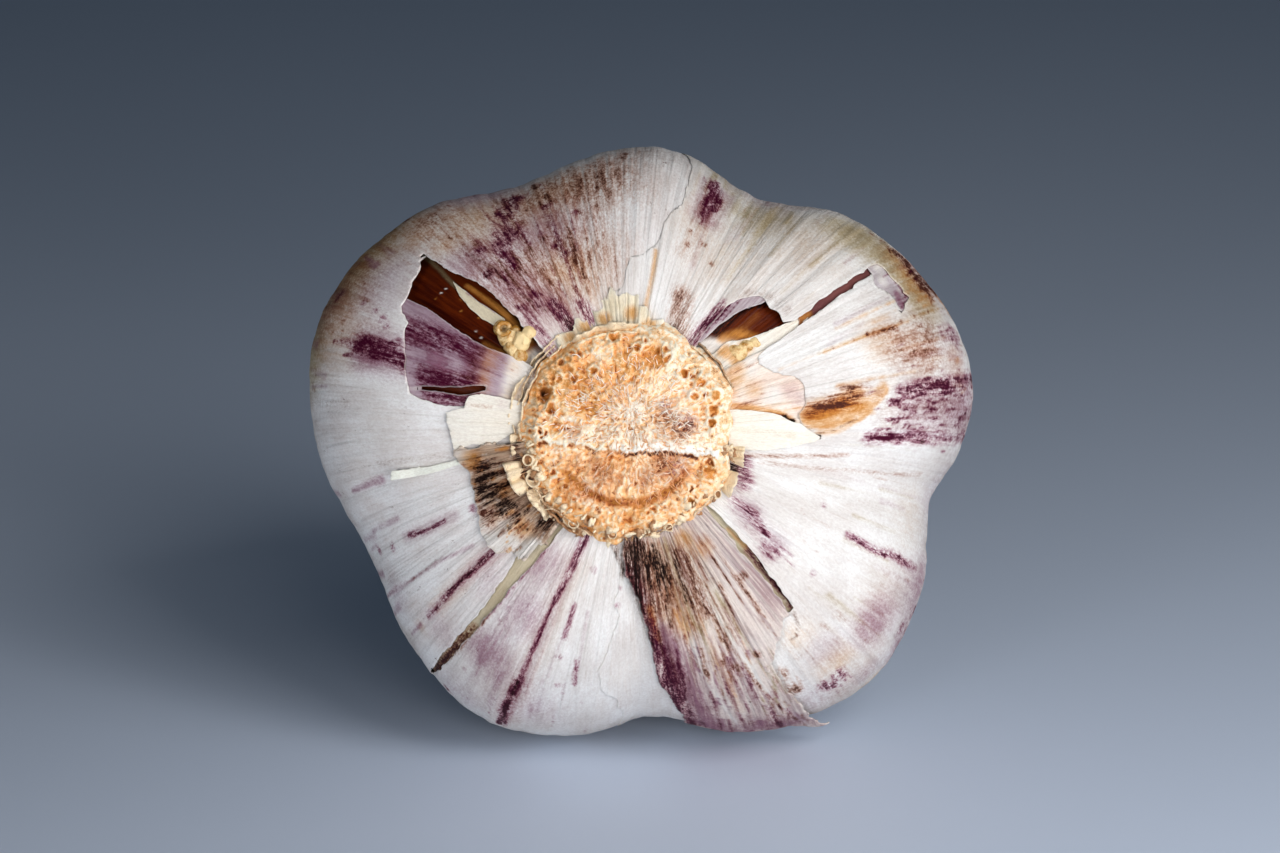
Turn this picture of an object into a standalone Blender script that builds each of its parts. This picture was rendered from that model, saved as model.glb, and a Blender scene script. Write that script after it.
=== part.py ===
"""A garlic bulb lying on its side, root plate forward, in metres and +Z up.

The bulb is modelled in its own frame: the origin is the middle of the root plate's face, +Z points
out of the plate, and a station is a distance from the plate towards the neck, so it lies at -Z.
Angles run anticlockwise around the axis as seen from the root end, from +X. An empty then tips
the whole bulb onto the two lobes and the neck that it rests on.
"""

import math

import bmesh
import bpy
from mathutils import Vector

MM = 0.001
MERGE = 0.01  # vertices nearer than this, in millimetres, are one

# Driving dimensions, in millimetres and degrees.
TILT = 20.0  # how far the root end is raised from the horizontal
RIM_RADIUS, RIM_STATION = 9.5, 2.0  # where the skins end around the root plate
BELT_STATION = 20.5
BULB_MIDDLE = Vector((0.0, 0.0, -BELT_STATION))
NECK_RADIUS, NECK_STATION = 7.5, 47.0
END_RADIUS, END_STATION = 6.6, 70.0  # the cut end of the neck
SHOULDER_POWER, SHOULDER_FALL = 2.1, 1.35  # the curve from the belt to the neck
VALLEY_DEPTH = 0.25  # how much deeper the front dips for each millimetre that the belt falls short
DROOP, DROOP_START = 2.83, 34.0  # the neck leans down by DROOP at its end

# The belt's radius around the bulb: five lobes with a valley between each two.
BELT = (
    (0, 30.5), (12, 31.8), (28, 31.0), (45, 28.7), (62, 25.2), (84, 27.1), (113, 25.3),
    (130, 27.9), (156, 30.1), (180, 28.1), (203, 25.3), (222, 26.6), (243, 28.1), (262, 26.6),
    (275, 24.6), (295, 28.2), (316, 30.8), (334, 29.7), (349, 27.9),
)
BELT_MEAN = sum(radius for _, radius in BELT) / len(BELT)

# Each lobe holds one clove, between two valleys.
CLOVES = {
    "right": (-11.0, 62.0),
    "top": (62.0, 113.0),
    "left": (113.0, 203.0),
    "lower_left": (203.0, 276.0),
    "lower_right": (276.0, 349.0),
}

# The layers, from the outside in. A lift is measured off the outer wrapper's outer face.
SKIN = 0.4
GAP = 0.3
OUTER_END, INNER_END = 3.0, 2.97  # the reaches where the two wrappers are cut off
LEAF_THICKNESS = 0.3
LEAF_LIFT = 1.3 * GAP + LEAF_THICKNESS
INNER_WRAPPER_LIFT = -SKIN - GAP
CLOVE_SKIN_LIFT = INNER_WRAPPER_LIFT - SKIN - GAP
CLOVE_INSET = SKIN + 1.5 * GAP  # from a clove skin's outer face to the clove's flesh

CLOVE_START, CLOVE_END = 3.7, 44.0
CLOVE_SIDES, CLOVE_RINGS = 14, 9
CLOVE_SQUARENESS = 0.6  # under 1 gives flat sides with rounded corners
CLOVE_ROOM = 0.9  # share of a clove's half width at which the wrapper over it is measured

SCAPE_RADIUS = 3.0
SCAPE_POINTS, SCAPE_BEVEL = 9, 2
SHEATH_START, SHEATH_RADIUS, SHEATH_WALL = 46.5, 5.3, 1.6
SHEATH_COLUMNS, SHEATH_ROWS = 24, 5

PLATE_PROFILE = (  # radius and station, from the face's middle to the back
    (0.0, -0.5), (3.5, -0.4), (6.2, 0.0), (6.9, 0.35), (7.6, 0.0),
    (8.3, 0.5), (8.6, 1.3), (9.1, 2.2), (9.1, 3.1), (0.0, 3.1),
)
PLATE_STEPS = 32

COLUMNS = 48
REACHES = (0.0, 0.14, 0.28, 0.42, 0.56, 0.7, 0.85, 1.0, 1.12, 1.26, 1.42, 1.6, 1.8, 2.0, 2.45, 3.0)

# Tears in the two wrappers: corners as (angle, radius), seen from the root end.
OUTER_TEARS = {
    "left": ((140, 8), (139, 16), (139.5, 26.5), (153, 24.5), (172, 20.5), (176, 15), (172, 8)),
    "upper_right": ((52, 8), (46, 14), (41, 17.5), (33, 26), (32, 18), (27, 10), (27, 8)),
    "lower_left": ((229, 8), (230.5, 18), (231.5, 27), (234, 18), (238, 8)),
    "lower_right": ((311, 8), (312.5, 17), (312.5, 23.5), (316.5, 16), (320, 8)),
    "right": ((17, 8), (12, 16), (0, 20), (-7, 15), (-9, 8)),
}
INNER_TEARS = {
    "left": ((140.5, 8), (139.5, 15), (140, 25), (148, 22), (147, 8)),
    "upper_right": ((50, 8), (44, 14), (40, 16.5), (34, 14), (30, 8)),
    "lower_left": ((230, 8), (231, 17), (232, 24), (233.5, 17), (236, 8)),
    "lower_right": ((312.5, 8), (313.5, 15), (313.5, 20), (315.5, 14), (318, 8)),
}
CUT_DEPTH = 24.0  # a cutter runs through the front of the bulb only

# What is left of the outermost leaves: edges as (reach, angle), from the plate outwards.
LEAVES = {
    "leaf_lower_right": {
        "right": ((0.03, 263), (0.5, 272), (1.4, 284)),
        "left": ((0.03, 309), (0.45, 309), (1.1, 303)),
    },
    "leaf_bottom": {
        "right": ((0.08, 255), (0.5, 263), (0.98, 266)),
        "left": ((0.08, 260), (0.5, 269), (1.03, 275.5)),
    },
    "leaf_top": {
        "right": ((0.05, 56), (0.35, 50), (1.5, 48)),
        "left": ((0.05, 98), (0.5, 84), (1.5, 75)),
    },
    "scab_left": {
        "right": ((0.04, 190), (0.2, 190), (0.42, 189)),
        "left": ((0.04, 226), (0.22, 226), (0.42, 222)),
    },
    "flap_left": {
        "right": ((0.05, 174), (0.2, 175), (0.4, 177)),
        "left": ((0.05, 187), (0.2, 187), (0.4, 187)),
    },
    "strip_left": {
        "right": ((0.48, 188.5), (0.55, 188.4), (0.7, 188.0)),
        "left": ((0.48, 191), (0.55, 190.8), (0.7, 190.2)),
    },
}
STAINED_LEAVES = ("leaf_lower_right", "scab_left")
LEAF_COLUMNS, LEAF_ROWS = 7, 8

# Each finish: red, green, blue and roughness.
FINISHES = {
    "skin": (0.80, 0.76, 0.74, 0.55),
    "inner_skin": (0.52, 0.33, 0.42, 0.55),
    "brown_skin": (0.24, 0.10, 0.04, 0.35),
    "flesh": (0.86, 0.80, 0.60, 0.40),
    "cork": (0.62, 0.38, 0.20, 0.85),
    "straw": (0.66, 0.55, 0.38, 0.75),
    "stained_leaf": (0.38, 0.25, 0.25, 0.65),
}


def material(name):
    """The material of one finish, made once."""
    made = bpy.data.materials.get(name)
    if made is None:
        red, green, blue, roughness = FINISHES[name]
        made = bpy.data.materials.new(name)
        made.use_nodes = True
        shader = made.node_tree.nodes["Principled BSDF"]
        shader.inputs["Base Color"].default_value = (red, green, blue, 1.0)
        shader.inputs["Roughness"].default_value = roughness
        shader.inputs["Metallic"].default_value = 0.0
    return made


def belt_radius(angle):
    """The belt's radius at an angle: a smooth closed curve through BELT."""
    count = len(BELT)
    angle %= 360.0
    last = max(i for i in range(count) if BELT[i][0] <= angle)

    def knot(index):
        turns, place = divmod(index, count)
        return BELT[place][0] + 360.0 * turns, BELT[place][1]

    (a0, r0), (a1, r1), (a2, r2), (a3, r3) = (knot(last + step) for step in (-1, 0, 1, 2))
    span = a2 - a1
    t = (angle - a1) / span
    slope_in = (r2 - r0) / (a2 - a0) * span
    slope_out = (r3 - r1) / (a3 - a1) * span
    return (
        (2 * t**3 - 3 * t**2 + 1) * r1
        + (t**3 - 2 * t**2 + t) * slope_in
        + (3 * t**2 - 2 * t**3) * r2
        + (t**3 - t**2) * slope_out
    )


def droop(station):
    """How far the bulb's centreline has leaned down at a station."""
    along = max(0.0, station - DROOP_START) / (END_STATION - DROOP_START)
    return DROOP * along**2


def around(radius, turn, station):
    """The point at a radius from the leaning centreline, at an angle in radians and a station."""
    return Vector((radius * math.cos(turn), radius * math.sin(turn) - droop(station), -station))


def base_point(angle, reach):
    """A point of the outer skin: reach is 0 at the plate, 1 at the belt, 2 at the neck, 3 at its end."""
    belt = belt_radius(angle)
    if reach <= 1.0:
        turn = reach * math.pi / 2
        radius = RIM_RADIUS + (belt - RIM_RADIUS) * math.sin(turn)
        station = RIM_STATION + (BELT_STATION - RIM_STATION) * (1 - math.cos(turn))
        station += VALLEY_DEPTH * (BELT_MEAN - belt) * math.sin(2 * turn)
    elif reach <= 2.0:
        along = reach - 1.0
        radius = NECK_RADIUS + (belt - NECK_RADIUS) * (1 - along**SHOULDER_POWER) ** SHOULDER_FALL
        station = BELT_STATION + (NECK_STATION - BELT_STATION) * along
    else:
        along = reach - 2.0
        radius = NECK_RADIUS + (END_RADIUS - NECK_RADIUS) * along
        station = NECK_STATION + (END_STATION - NECK_STATION) * along
    return around(radius, math.radians(angle), station)


def skin_point(angle, reach, lift=0.0):
    """A point at a height above the outer skin, in millimetres."""
    turn, step = 1.0, 0.02
    here = base_point(angle, reach)
    sideways = base_point(angle + turn, reach) - base_point(angle - turn, reach)
    backwards = base_point(angle, min(reach + step, OUTER_END)) - base_point(angle, max(reach - step, 0.0))
    return here + sideways.cross(backwards).normalized() * -lift


def radius_at(angle, station, lift):
    """The radius of the layer at that lift where it crosses a station, found by halving its reach."""
    low, high, halvings = 0.0, 2.4, 24
    for _ in range(halvings):
        middle = (low + high) / 2
        point = skin_point(angle, middle, lift)
        low, high = (middle, high) if -point.z < station else (low, middle)
    point = skin_point(angle, low, lift)
    return math.hypot(point.x, point.y + droop(-point.z))


def face_away(shape, middle=BULB_MIDDLE):
    """Turns a shape's faces away from a point that lies inside it or behind it."""
    bmesh.ops.recalc_face_normals(shape, faces=shape.faces)
    facing = 0.0
    for face in shape.faces:
        facing += face.calc_area() * face.normal.dot(face.calc_center_median() - middle)
    if facing < 0:
        bmesh.ops.reverse_faces(shape, faces=shape.faces)


def mean_point(shape):
    """The mean of a shape's vertices."""
    return sum((vertex.co for vertex in shape.verts), Vector()) / len(shape.verts)


def new_object(name, shape, finish, collection):
    """An object of a bmesh whose coordinates are in millimetres."""
    bmesh.ops.scale(shape, vec=(MM, MM, MM), verts=shape.verts)
    mesh = bpy.data.meshes.new(name)
    shape.to_mesh(mesh)
    shape.free()
    made = bpy.data.objects.new(name, mesh)
    collection.objects.link(made)
    if finish:
        mesh.materials.append(material(finish))
        mesh.shade_smooth()
    return made


def solidify(made, thickness):
    """Gives an open surface its thickness, inwards."""
    wall = made.modifiers.new("thickness", "SOLIDIFY")
    wall.thickness = thickness * MM
    wall.offset = -1.0
    return wall


def mapped_grid(columns, rows, place):
    """A grid whose vertices are placed by a function of two shares from 0 to 1: across and along."""
    shape = bmesh.new()
    bmesh.ops.create_grid(shape, x_segments=columns, y_segments=rows, size=0.5)
    for vertex in shape.verts:
        vertex.co = place(vertex.co.x + 0.5, vertex.co.y + 0.5)
    return shape


def along_table(table, share):
    """The value of an evenly spaced table at a share from 0 to 1."""
    at = share * (len(table) - 1)
    low = min(int(at), len(table) - 2)
    return table[low] + (table[low + 1] - table[low]) * (at - low)


def wrapper(name, lift, finish, tears, last_reach, collection, cutters):
    """One whole skin around the bulb, open at the plate and at the cut neck, with its tears."""
    reaches = [min(reach, last_reach) for reach in REACHES]
    shape = mapped_grid(
        COLUMNS,
        len(reaches) - 1,
        lambda across, along: skin_point(360.0 * across, along_table(reaches, along), lift),
    )
    bmesh.ops.remove_doubles(shape, verts=shape.verts, dist=MERGE)
    face_away(shape)
    made = new_object(name, shape, finish, collection)
    solidify(made, SKIN)
    for place, corners in tears.items():
        cut = made.modifiers.new("tear_" + place, "BOOLEAN")
        cut.operation = "DIFFERENCE"
        cut.object = tear_cutter(f"{name}_tear_{place}", corners, cutters)
    return made


def tear_cutter(name, corners, cutters):
    """A prism along the axis whose outline is the tear's, as a hidden cutter."""
    shape = bmesh.new()
    ring = []
    for angle, radius in corners:
        turn = math.radians(angle)
        ring.append(shape.verts.new((radius * math.cos(turn), radius * math.sin(turn), RIM_STATION)))
    face = shape.faces.new(ring)
    raised = bmesh.ops.extrude_face_region(shape, geom=[face])
    moved = [item for item in raised["geom"] if isinstance(item, bmesh.types.BMVert)]
    bmesh.ops.translate(shape, vec=(0, 0, -CUT_DEPTH), verts=moved)
    face_away(shape, mean_point(shape))
    made = new_object(name, shape, None, cutters)
    made.hide_render = True
    made.display_type = "WIRE"
    return made


def power(value, exponent):
    """A signed power, which squares off a circle's sine and cosine when the exponent is under 1."""
    return math.copysign(abs(value) ** exponent, value)


def clove_shape(sides, inset):
    """A clove between two valleys: a rounded wedge between the scape and the wrappers."""
    start_angle, end_angle = sides
    middle, half = (start_angle + end_angle) / 2, (end_angle - start_angle) / 2
    shape = bmesh.new()
    bmesh.ops.create_uvsphere(shape, u_segments=CLOVE_SIDES, v_segments=CLOVE_RINGS, radius=1.0)
    side_gap = GAP / 2 + inset
    inner = SCAPE_RADIUS + GAP + inset
    length = CLOVE_END - CLOVE_START - 2 * inset
    pole = 1e-4
    for vertex in shape.verts:
        height = max(-1.0, min(1.0, vertex.co.z))
        share = math.acos(height) / math.pi
        flat = math.hypot(vertex.co.x, vertex.co.y)
        across = power(vertex.co.x / flat, CLOVE_SQUARENESS) if flat > pole else 0.0
        outwards = power(vertex.co.y / flat, CLOVE_SQUARENESS) if flat > pole else 0.0
        station = CLOVE_START + inset + length * share
        roomy = radius_at(middle + across * half * CLOVE_ROOM, station, CLOVE_SKIN_LIFT - inset)
        radius = inner + (roomy - inner) * (outwards + 1) / 2
        limit = half - math.degrees(math.asin(min(1.0, side_gap / radius)))
        vertex.co = around(radius, math.radians(middle + across * limit), station)
    return shape


def clove(name, sides, collection):
    """One clove's flesh."""
    shape = clove_shape(sides, CLOVE_INSET)
    face_away(shape, mean_point(shape))
    return new_object("clove_" + name, shape, "flesh", collection)


def clove_skin(name, sides, collection):
    """The brown skin around one clove, open where it grew on the plate."""
    shape = clove_shape(sides, 0.0)
    face_away(shape, mean_point(shape))
    base = [vertex for vertex in shape.verts if vertex.co.z > -CLOVE_START - MERGE]
    bmesh.ops.delete(shape, geom=base, context="VERTS")
    made = new_object("clove_skin_" + name, shape, "brown_skin", collection)
    solidify(made, SKIN)
    return made


def root_plate(collection):
    """The corky disc that the roots grew from, turned about the axis."""
    shape = bmesh.new()
    points = [shape.verts.new((radius, 0.0, -station)) for radius, station in PLATE_PROFILE]
    for first, second in zip(points, points[1:]):
        shape.edges.new((first, second))
    made = new_object("root_plate", shape, "cork", collection)
    turned = made.modifiers.new("turned", "SCREW")
    turned.steps = turned.render_steps = PLATE_STEPS
    turned.use_merge_vertices = True
    turned.merge_threshold = 10 * MERGE * MM
    return made


def scape(collection):
    """The dry flower stalk up the middle, from the plate to the cut end."""
    start = PLATE_PROFILE[-1][1] + GAP
    curve = bpy.data.curves.new("scape", "CURVE")
    curve.dimensions = "3D"
    curve.bevel_depth = SCAPE_RADIUS * MM
    curve.bevel_resolution = SCAPE_BEVEL
    curve.use_fill_caps = True
    line = curve.splines.new("POLY")
    line.points.add(SCAPE_POINTS - 1)
    for index, point in enumerate(line.points):
        station = start + (END_STATION - start) * index / (SCAPE_POINTS - 1)
        point.co = (0.0, -droop(station) * MM, -station * MM, 1.0)
    curve.materials.append(material("straw"))
    made = bpy.data.objects.new("scape", curve)
    collection.objects.link(made)
    return made


def neck_sheath(collection):
    """The dry leaf bases packed between the scape and the wrappers in the neck."""

    def place(across, along):
        station = SHEATH_START + (END_STATION - SKIN - SHEATH_START) * along
        return around(SHEATH_RADIUS, math.tau * across, station)

    shape = mapped_grid(SHEATH_COLUMNS, SHEATH_ROWS, place)
    bmesh.ops.remove_doubles(shape, verts=shape.verts, dist=MERGE)
    face_away(shape)
    made = new_object("neck_sheath", shape, "straw", collection)
    solidify(made, SHEATH_WALL)
    return made


def edge_angle(edge, reach):
    """The angle of a leaf's edge at a reach, between the edge's own points."""
    for (reach_a, angle_a), (reach_b, angle_b) in zip(edge, edge[1:]):
        if reach <= reach_b:
            break
    return angle_a + (angle_b - angle_a) * (reach - reach_a) / (reach_b - reach_a)


def leaf(name, edges, finish, collection):
    """A remnant of an outermost leaf, lying just off the outer wrapper."""
    right, left = edges["right"], edges["left"]

    def place(across, along):
        end = right[-1][0] + (left[-1][0] - right[-1][0]) * across
        reach = right[0][0] + (end - right[0][0]) * along
        right_angle, left_angle = edge_angle(right, reach), edge_angle(left, reach)
        return skin_point(right_angle + (left_angle - right_angle) * across, reach, LEAF_LIFT)

    shape = mapped_grid(LEAF_COLUMNS, LEAF_ROWS, place)
    face_away(shape)
    made = new_object(name, shape, finish, collection)
    solidify(made, LEAF_THICKNESS)
    return made


def lay_down(frame, parts):
    """Tips the bulb onto its rest, with the middle of its footprint's box at the origin."""
    frame.rotation_euler = (math.radians(90.0 - TILT), 0.0, 0.0)
    bpy.context.view_layer.update()
    graph = bpy.context.evaluated_depsgraph_get()
    points = []
    for part in parts:
        evaluated = part.evaluated_get(graph)
        mesh = evaluated.to_mesh()
        points += [evaluated.matrix_world @ vertex.co for vertex in mesh.vertices]
        evaluated.to_mesh_clear()
    low = [min(point[axis] for point in points) for axis in range(3)]
    high = [max(point[axis] for point in points) for axis in range(3)]
    frame.location = (-(low[0] + high[0]) / 2, -(low[1] + high[1]) / 2, -low[2])


def clear_scene():
    """Removes everything that is in the scene."""
    for obj in list(bpy.data.objects):
        bpy.data.objects.remove(obj, do_unlink=True)


def new_collection(name):
    """A collection linked to the scene."""
    made = bpy.data.collections.new(name)
    bpy.context.scene.collection.children.link(made)
    return made


def main():
    """Builds every piece of the bulb and lays it down."""
    clear_scene()
    bulb = new_collection("garlic_bulb")
    cutters = new_collection("cutters")
    parts = [
        root_plate(bulb),
        scape(bulb),
        neck_sheath(bulb),
        wrapper("outer_wrapper", 0.0, "skin", OUTER_TEARS, OUTER_END, bulb, cutters),
        wrapper("inner_wrapper", INNER_WRAPPER_LIFT, "inner_skin", INNER_TEARS, INNER_END, bulb, cutters),
    ]
    for name, sides in CLOVES.items():
        parts.append(clove(name, sides, bulb))
        parts.append(clove_skin(name, sides, bulb))
    for name, edges in LEAVES.items():
        finish = "stained_leaf" if name in STAINED_LEAVES else "skin"
        parts.append(leaf(name, edges, finish, bulb))
    frame = bpy.data.objects.new("bulb_frame", None)
    bulb.objects.link(frame)
    for thing in [*parts, *cutters.objects]:
        thing.parent = frame
    lay_down(frame, parts)


main()
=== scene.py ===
"""The looks of a garlic bulb that lies on its side with its root plate forward.

The bulb's own frame is in millimetres: its origin is the middle of the root plate's face and +Z points
out of the plate. A place on a skin is an angle around the axis, anticlockwise from +X as seen from the
root end, and a reach: 0 at the plate, 1 at the belt, 2 where the neck starts and 3 at its cut end. The
tables of outlines and marks give the reach in hundredths.
"""

import functools
import itertools
import logging
import math
from dataclasses import dataclass, replace
from enum import Enum

import bmesh
import bpy
import numpy as np
from mathutils import Matrix, Vector
from mathutils.kdtree import KDTree


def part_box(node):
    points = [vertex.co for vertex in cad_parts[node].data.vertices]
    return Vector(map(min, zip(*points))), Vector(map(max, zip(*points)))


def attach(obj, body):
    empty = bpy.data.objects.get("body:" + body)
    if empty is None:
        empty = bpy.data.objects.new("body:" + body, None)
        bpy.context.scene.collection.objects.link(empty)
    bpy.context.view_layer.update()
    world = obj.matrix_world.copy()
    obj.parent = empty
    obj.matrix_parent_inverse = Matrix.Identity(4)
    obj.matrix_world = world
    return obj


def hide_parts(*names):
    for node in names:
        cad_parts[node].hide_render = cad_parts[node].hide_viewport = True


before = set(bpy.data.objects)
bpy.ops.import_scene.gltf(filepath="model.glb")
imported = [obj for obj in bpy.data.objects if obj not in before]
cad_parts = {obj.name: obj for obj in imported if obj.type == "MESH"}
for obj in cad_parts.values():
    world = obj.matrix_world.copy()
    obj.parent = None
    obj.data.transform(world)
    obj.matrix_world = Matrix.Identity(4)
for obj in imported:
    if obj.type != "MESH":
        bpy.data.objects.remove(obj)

log = logging.getLogger("garlic")

MM = 0.001
Place = tuple[float, float]
Point = tuple[float, float, float]
Colour = tuple[float, float, float]

# About how far a reach of 1 goes on the front of the bulb, and the radius the fibres' pattern is laid on.
REACH_MM = 30.0
FIBRE_RADIUS = 26.0


def random_values(cells: np.ndarray, seed: int) -> np.ndarray:
    """Gives each whole-numbered cell of space its own value.

    Args:
        cells: Integer cells, one row each.
        seed: Picks another set of values.

    Returns:
        A value from 0 to 1 for each cell.
    """
    key = cells[:, 0] * 73856093 ^ cells[:, 1] * 19349663 ^ cells[:, 2] * 83492791 ^ seed * 2654435761
    key = ((key ^ (key >> 13)) * 1274126177) & 0xFFFFFFFF
    return ((key ^ (key >> 16)) & 0xFFFF) / 65535.0


def noise(points: np.ndarray, seed: int = 0, octaves: int = 1) -> np.ndarray:
    """Smooth noise over space, with a feature about one unit across.

    Args:
        points: Points, one row each.
        seed: Picks another pattern.
        octaves: How many finer layers are added, each at half the size and strength.

    Returns:
        A value from about -1 to 1 for each point.
    """
    total = np.zeros(len(points))
    for octave in range(octaves):
        at = points * 2.0**octave
        cell = np.floor(at).astype(np.int64)
        part = at - cell
        ease = part * part * (3 - 2 * part)
        for corner in itertools.product((0, 1), repeat=3):
            weight = np.prod(np.where(corner, ease, 1 - ease), axis=1)
            total += (random_values(cell + corner, seed + octave) * 2 - 1) * weight / 2.0**octave
    return total


def smoothstep(value: np.ndarray, low: float, high: float) -> np.ndarray:
    """Rises smoothly from 0 at low to 1 at high."""
    share = np.clip((value - low) / (high - low), 0.0, 1.0)
    return share * share * (3 - 2 * share)


def hump(value: np.ndarray, middle: float, width: float) -> np.ndarray:
    """A smooth hump: 1 at its middle, and almost 0 at twice its width away."""
    return np.exp(-(((value - middle) / width) ** 2))


def ring(turn: np.ndarray, size: float, along: np.ndarray) -> np.ndarray:
    """Points round a circle, for noise that meets itself; along is their place on its axis."""
    return np.stack([np.cos(turn) * size, np.sin(turn) * size, along], axis=1)


def unit(places: tuple[Place, ...]) -> tuple[Place, ...]:
    """Places of a table, whose reach is in hundredths, as places on the form."""
    return tuple((angle, reach / 100) for angle, reach in places)


@dataclass(frozen=True)
class BulbForm:
    """The bulb's outer face, the same surface that the frame's wrapper was built on."""

    tilt: float = 20.0
    rim_radius: float = 9.5
    rim_station: float = 2.0
    belt_station: float = 20.5
    neck_radius: float = 7.5
    neck_station: float = 47.0
    end_radius: float = 6.6
    end_station: float = 70.0
    shoulder_power: float = 2.1
    shoulder_fall: float = 1.35
    valley_depth: float = 0.25
    droop: float = 2.83
    droop_start: float = 34.0
    plate_radius: float = 9.1
    plate_shoulder: float = 2.2
    plate_back: float = 3.1
    belt: tuple[Place, ...] = (
        (0, 30.5), (12, 31.8), (28, 31.0), (45, 28.7), (62, 25.2), (84, 27.1), (113, 25.3),
        (130, 27.9), (156, 30.1), (180, 28.1), (203, 25.3), (222, 26.6), (243, 28.1), (262, 26.6),
        (275, 24.6), (295, 28.2), (316, 30.8), (334, 29.7), (349, 27.9),
    )

    SLOPE_STEP = (0.7, 0.015)

    def belt_radius(self, angle: np.ndarray) -> np.ndarray:
        """The belt's radius at each angle, on a smooth closed curve through the belt's points."""
        knots = np.array(self.belt)
        count = len(knots)
        turned = np.mod(angle, 360.0)
        last = np.searchsorted(knots[:, 0], turned, side="right") - 1

        def knot(step: int) -> tuple[np.ndarray, np.ndarray]:
            """The angle and radius of the knot that is some steps on from the last one."""
            index = last + step
            return knots[index % count, 0] + 360.0 * (index // count), knots[index % count, 1]

        (a0, r0), (a1, r1), (a2, r2), (a3, r3) = (knot(step) for step in (-1, 0, 1, 2))
        span = a2 - a1
        t = (turned - a1) / span
        slope_in = (r2 - r0) / (a2 - a0) * span
        slope_out = (r3 - r1) / (a3 - a1) * span
        return (
            (2 * t**3 - 3 * t**2 + 1) * r1
            + (t**3 - 2 * t**2 + t) * slope_in
            + (3 * t**2 - 2 * t**3) * r2
            + (t**3 - t**2) * slope_out
        )

    def leaned(self, station: np.ndarray) -> np.ndarray:
        """How far the centreline has leaned down at each station."""
        along = np.maximum(0.0, station - self.droop_start) / (self.end_station - self.droop_start)
        return self.droop * along**2

    def base(self, angle: np.ndarray, reach: np.ndarray) -> np.ndarray:
        """Points of the outer face.

        Args:
            angle: Angles around the axis, in degrees.
            reach: How far from the plate, from 0 to 3.

        Returns:
            Points in the bulb's frame, one row each.
        """
        belt = self.belt_radius(angle)
        mean = float(np.mean([radius for _, radius in self.belt]))
        turn = np.clip(reach, -0.1, 1.0) * np.pi / 2
        radius = self.rim_radius + (belt - self.rim_radius) * np.sin(turn)
        station = self.rim_station + (self.belt_station - self.rim_station) * (1 - np.cos(turn))
        station = station + self.valley_depth * (mean - belt) * np.sin(2 * np.maximum(turn, 0.0))
        back = np.clip(reach - 1, 0.0, 1.0)
        fall = (1 - back**self.shoulder_power) ** self.shoulder_fall
        radius = np.where(reach > 1, self.neck_radius + (belt - self.neck_radius) * fall, radius)
        shoulder = self.belt_station + (self.neck_station - self.belt_station) * back
        station = np.where(reach > 1, shoulder, station)
        neck = np.clip(reach - 2, 0.0, 1.0)
        radius = np.where(reach > 2, self.neck_radius + (self.end_radius - self.neck_radius) * neck, radius)
        cut = self.neck_station + (self.end_station - self.neck_station) * neck
        station = np.where(reach > 2, cut, station)
        turn = np.radians(angle)
        x, y = radius * np.cos(turn), radius * np.sin(turn) - self.leaned(station)
        return np.stack([x, y, -station], axis=-1)

    def skin(self, angle: np.ndarray, reach: np.ndarray, lift: np.ndarray) -> np.ndarray:
        """Points above the outer face.

        Args:
            angle: Angles around the axis, in degrees.
            reach: How far from the plate, from 0 to 3.
            lift: How high they stand, in millimetres.

        Returns:
            Points in the bulb's frame, one row each.
        """
        wide, tall = self.SLOPE_STEP
        around = self.base(angle + wide, reach) - self.base(angle - wide, reach)
        along = self.base(angle, np.minimum(reach + tall, 3.0)) - self.base(angle, reach - tall)
        outwards = np.cross(along, around)
        outwards /= np.linalg.norm(outwards, axis=-1, keepdims=True)
        return self.base(angle, reach) + outwards * lift[..., None]

    def turned(self) -> Matrix:
        """The turn from the bulb's frame to the lying bulb's."""
        return Matrix.Rotation(math.radians(90.0 - self.tilt), 4, "X")

    def to_frame(self) -> Matrix:
        """The matrix from the bulb's frame to the shared frame in metres, read off the root plate."""
        low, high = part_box("root_plate")
        back = self.turned() @ Vector((0.0, self.plate_radius, -self.plate_back))
        top = self.turned() @ Vector((0.0, self.plate_radius, -self.plate_shoulder))
        place = Vector(((low.x + high.x) / 2, high.y - back.y * MM, high.z - top.z * MM))
        return Matrix.Translation(place) @ self.turned() @ Matrix.Scale(MM, 4)


FORM = BulbForm()


def mesh_of(shape: bmesh.types.BMesh, name: str) -> bpy.types.Mesh:
    """Turns a shape into a mesh, and frees the shape."""
    mesh = bpy.data.meshes.new(name)
    shape.to_mesh(mesh)
    shape.free()
    return mesh


def coordinates(mesh: bpy.types.Mesh) -> np.ndarray:
    """A mesh's vertices, one row each."""
    flat = np.empty(len(mesh.vertices) * 3)
    mesh.vertices.foreach_get("co", flat)
    return flat.reshape(-1, 3)


def store(mesh: bpy.types.Mesh, name: str, values: np.ndarray) -> None:
    """Stores one number for each vertex of a mesh."""
    attribute = mesh.attributes.new(name, "FLOAT", "POINT")
    attribute.data.foreach_set("value", values.astype(np.float32))


def linked(name: str, data: bpy.types.ID) -> bpy.types.Object:
    """A new object in the scene."""
    made = bpy.data.objects.new(name, data)
    bpy.context.scene.collection.objects.link(made)
    return made


def settle(mesh: bpy.types.Mesh, material: bpy.types.Material, slot: str, *nodes: str) -> bpy.types.Object:
    """Puts a mesh on the bulb's one body as a piece of its own.

    Args:
        mesh: The piece's mesh in the bulb's frame, under the piece's name.
        material: What it is dressed in.
        slot: The material slot that it stands for; not used.
        nodes: The nodes that it takes the place of.

    Returns:
        The piece.
    """
    mesh.transform(FORM.to_frame())
    mesh.materials.append(material)
    piece = linked(mesh.name, mesh)
    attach(piece, "root")
    if nodes:
        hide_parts(*nodes)
    log.info("%s: %d faces", piece.name, len(mesh.polygons))
    return piece


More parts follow.
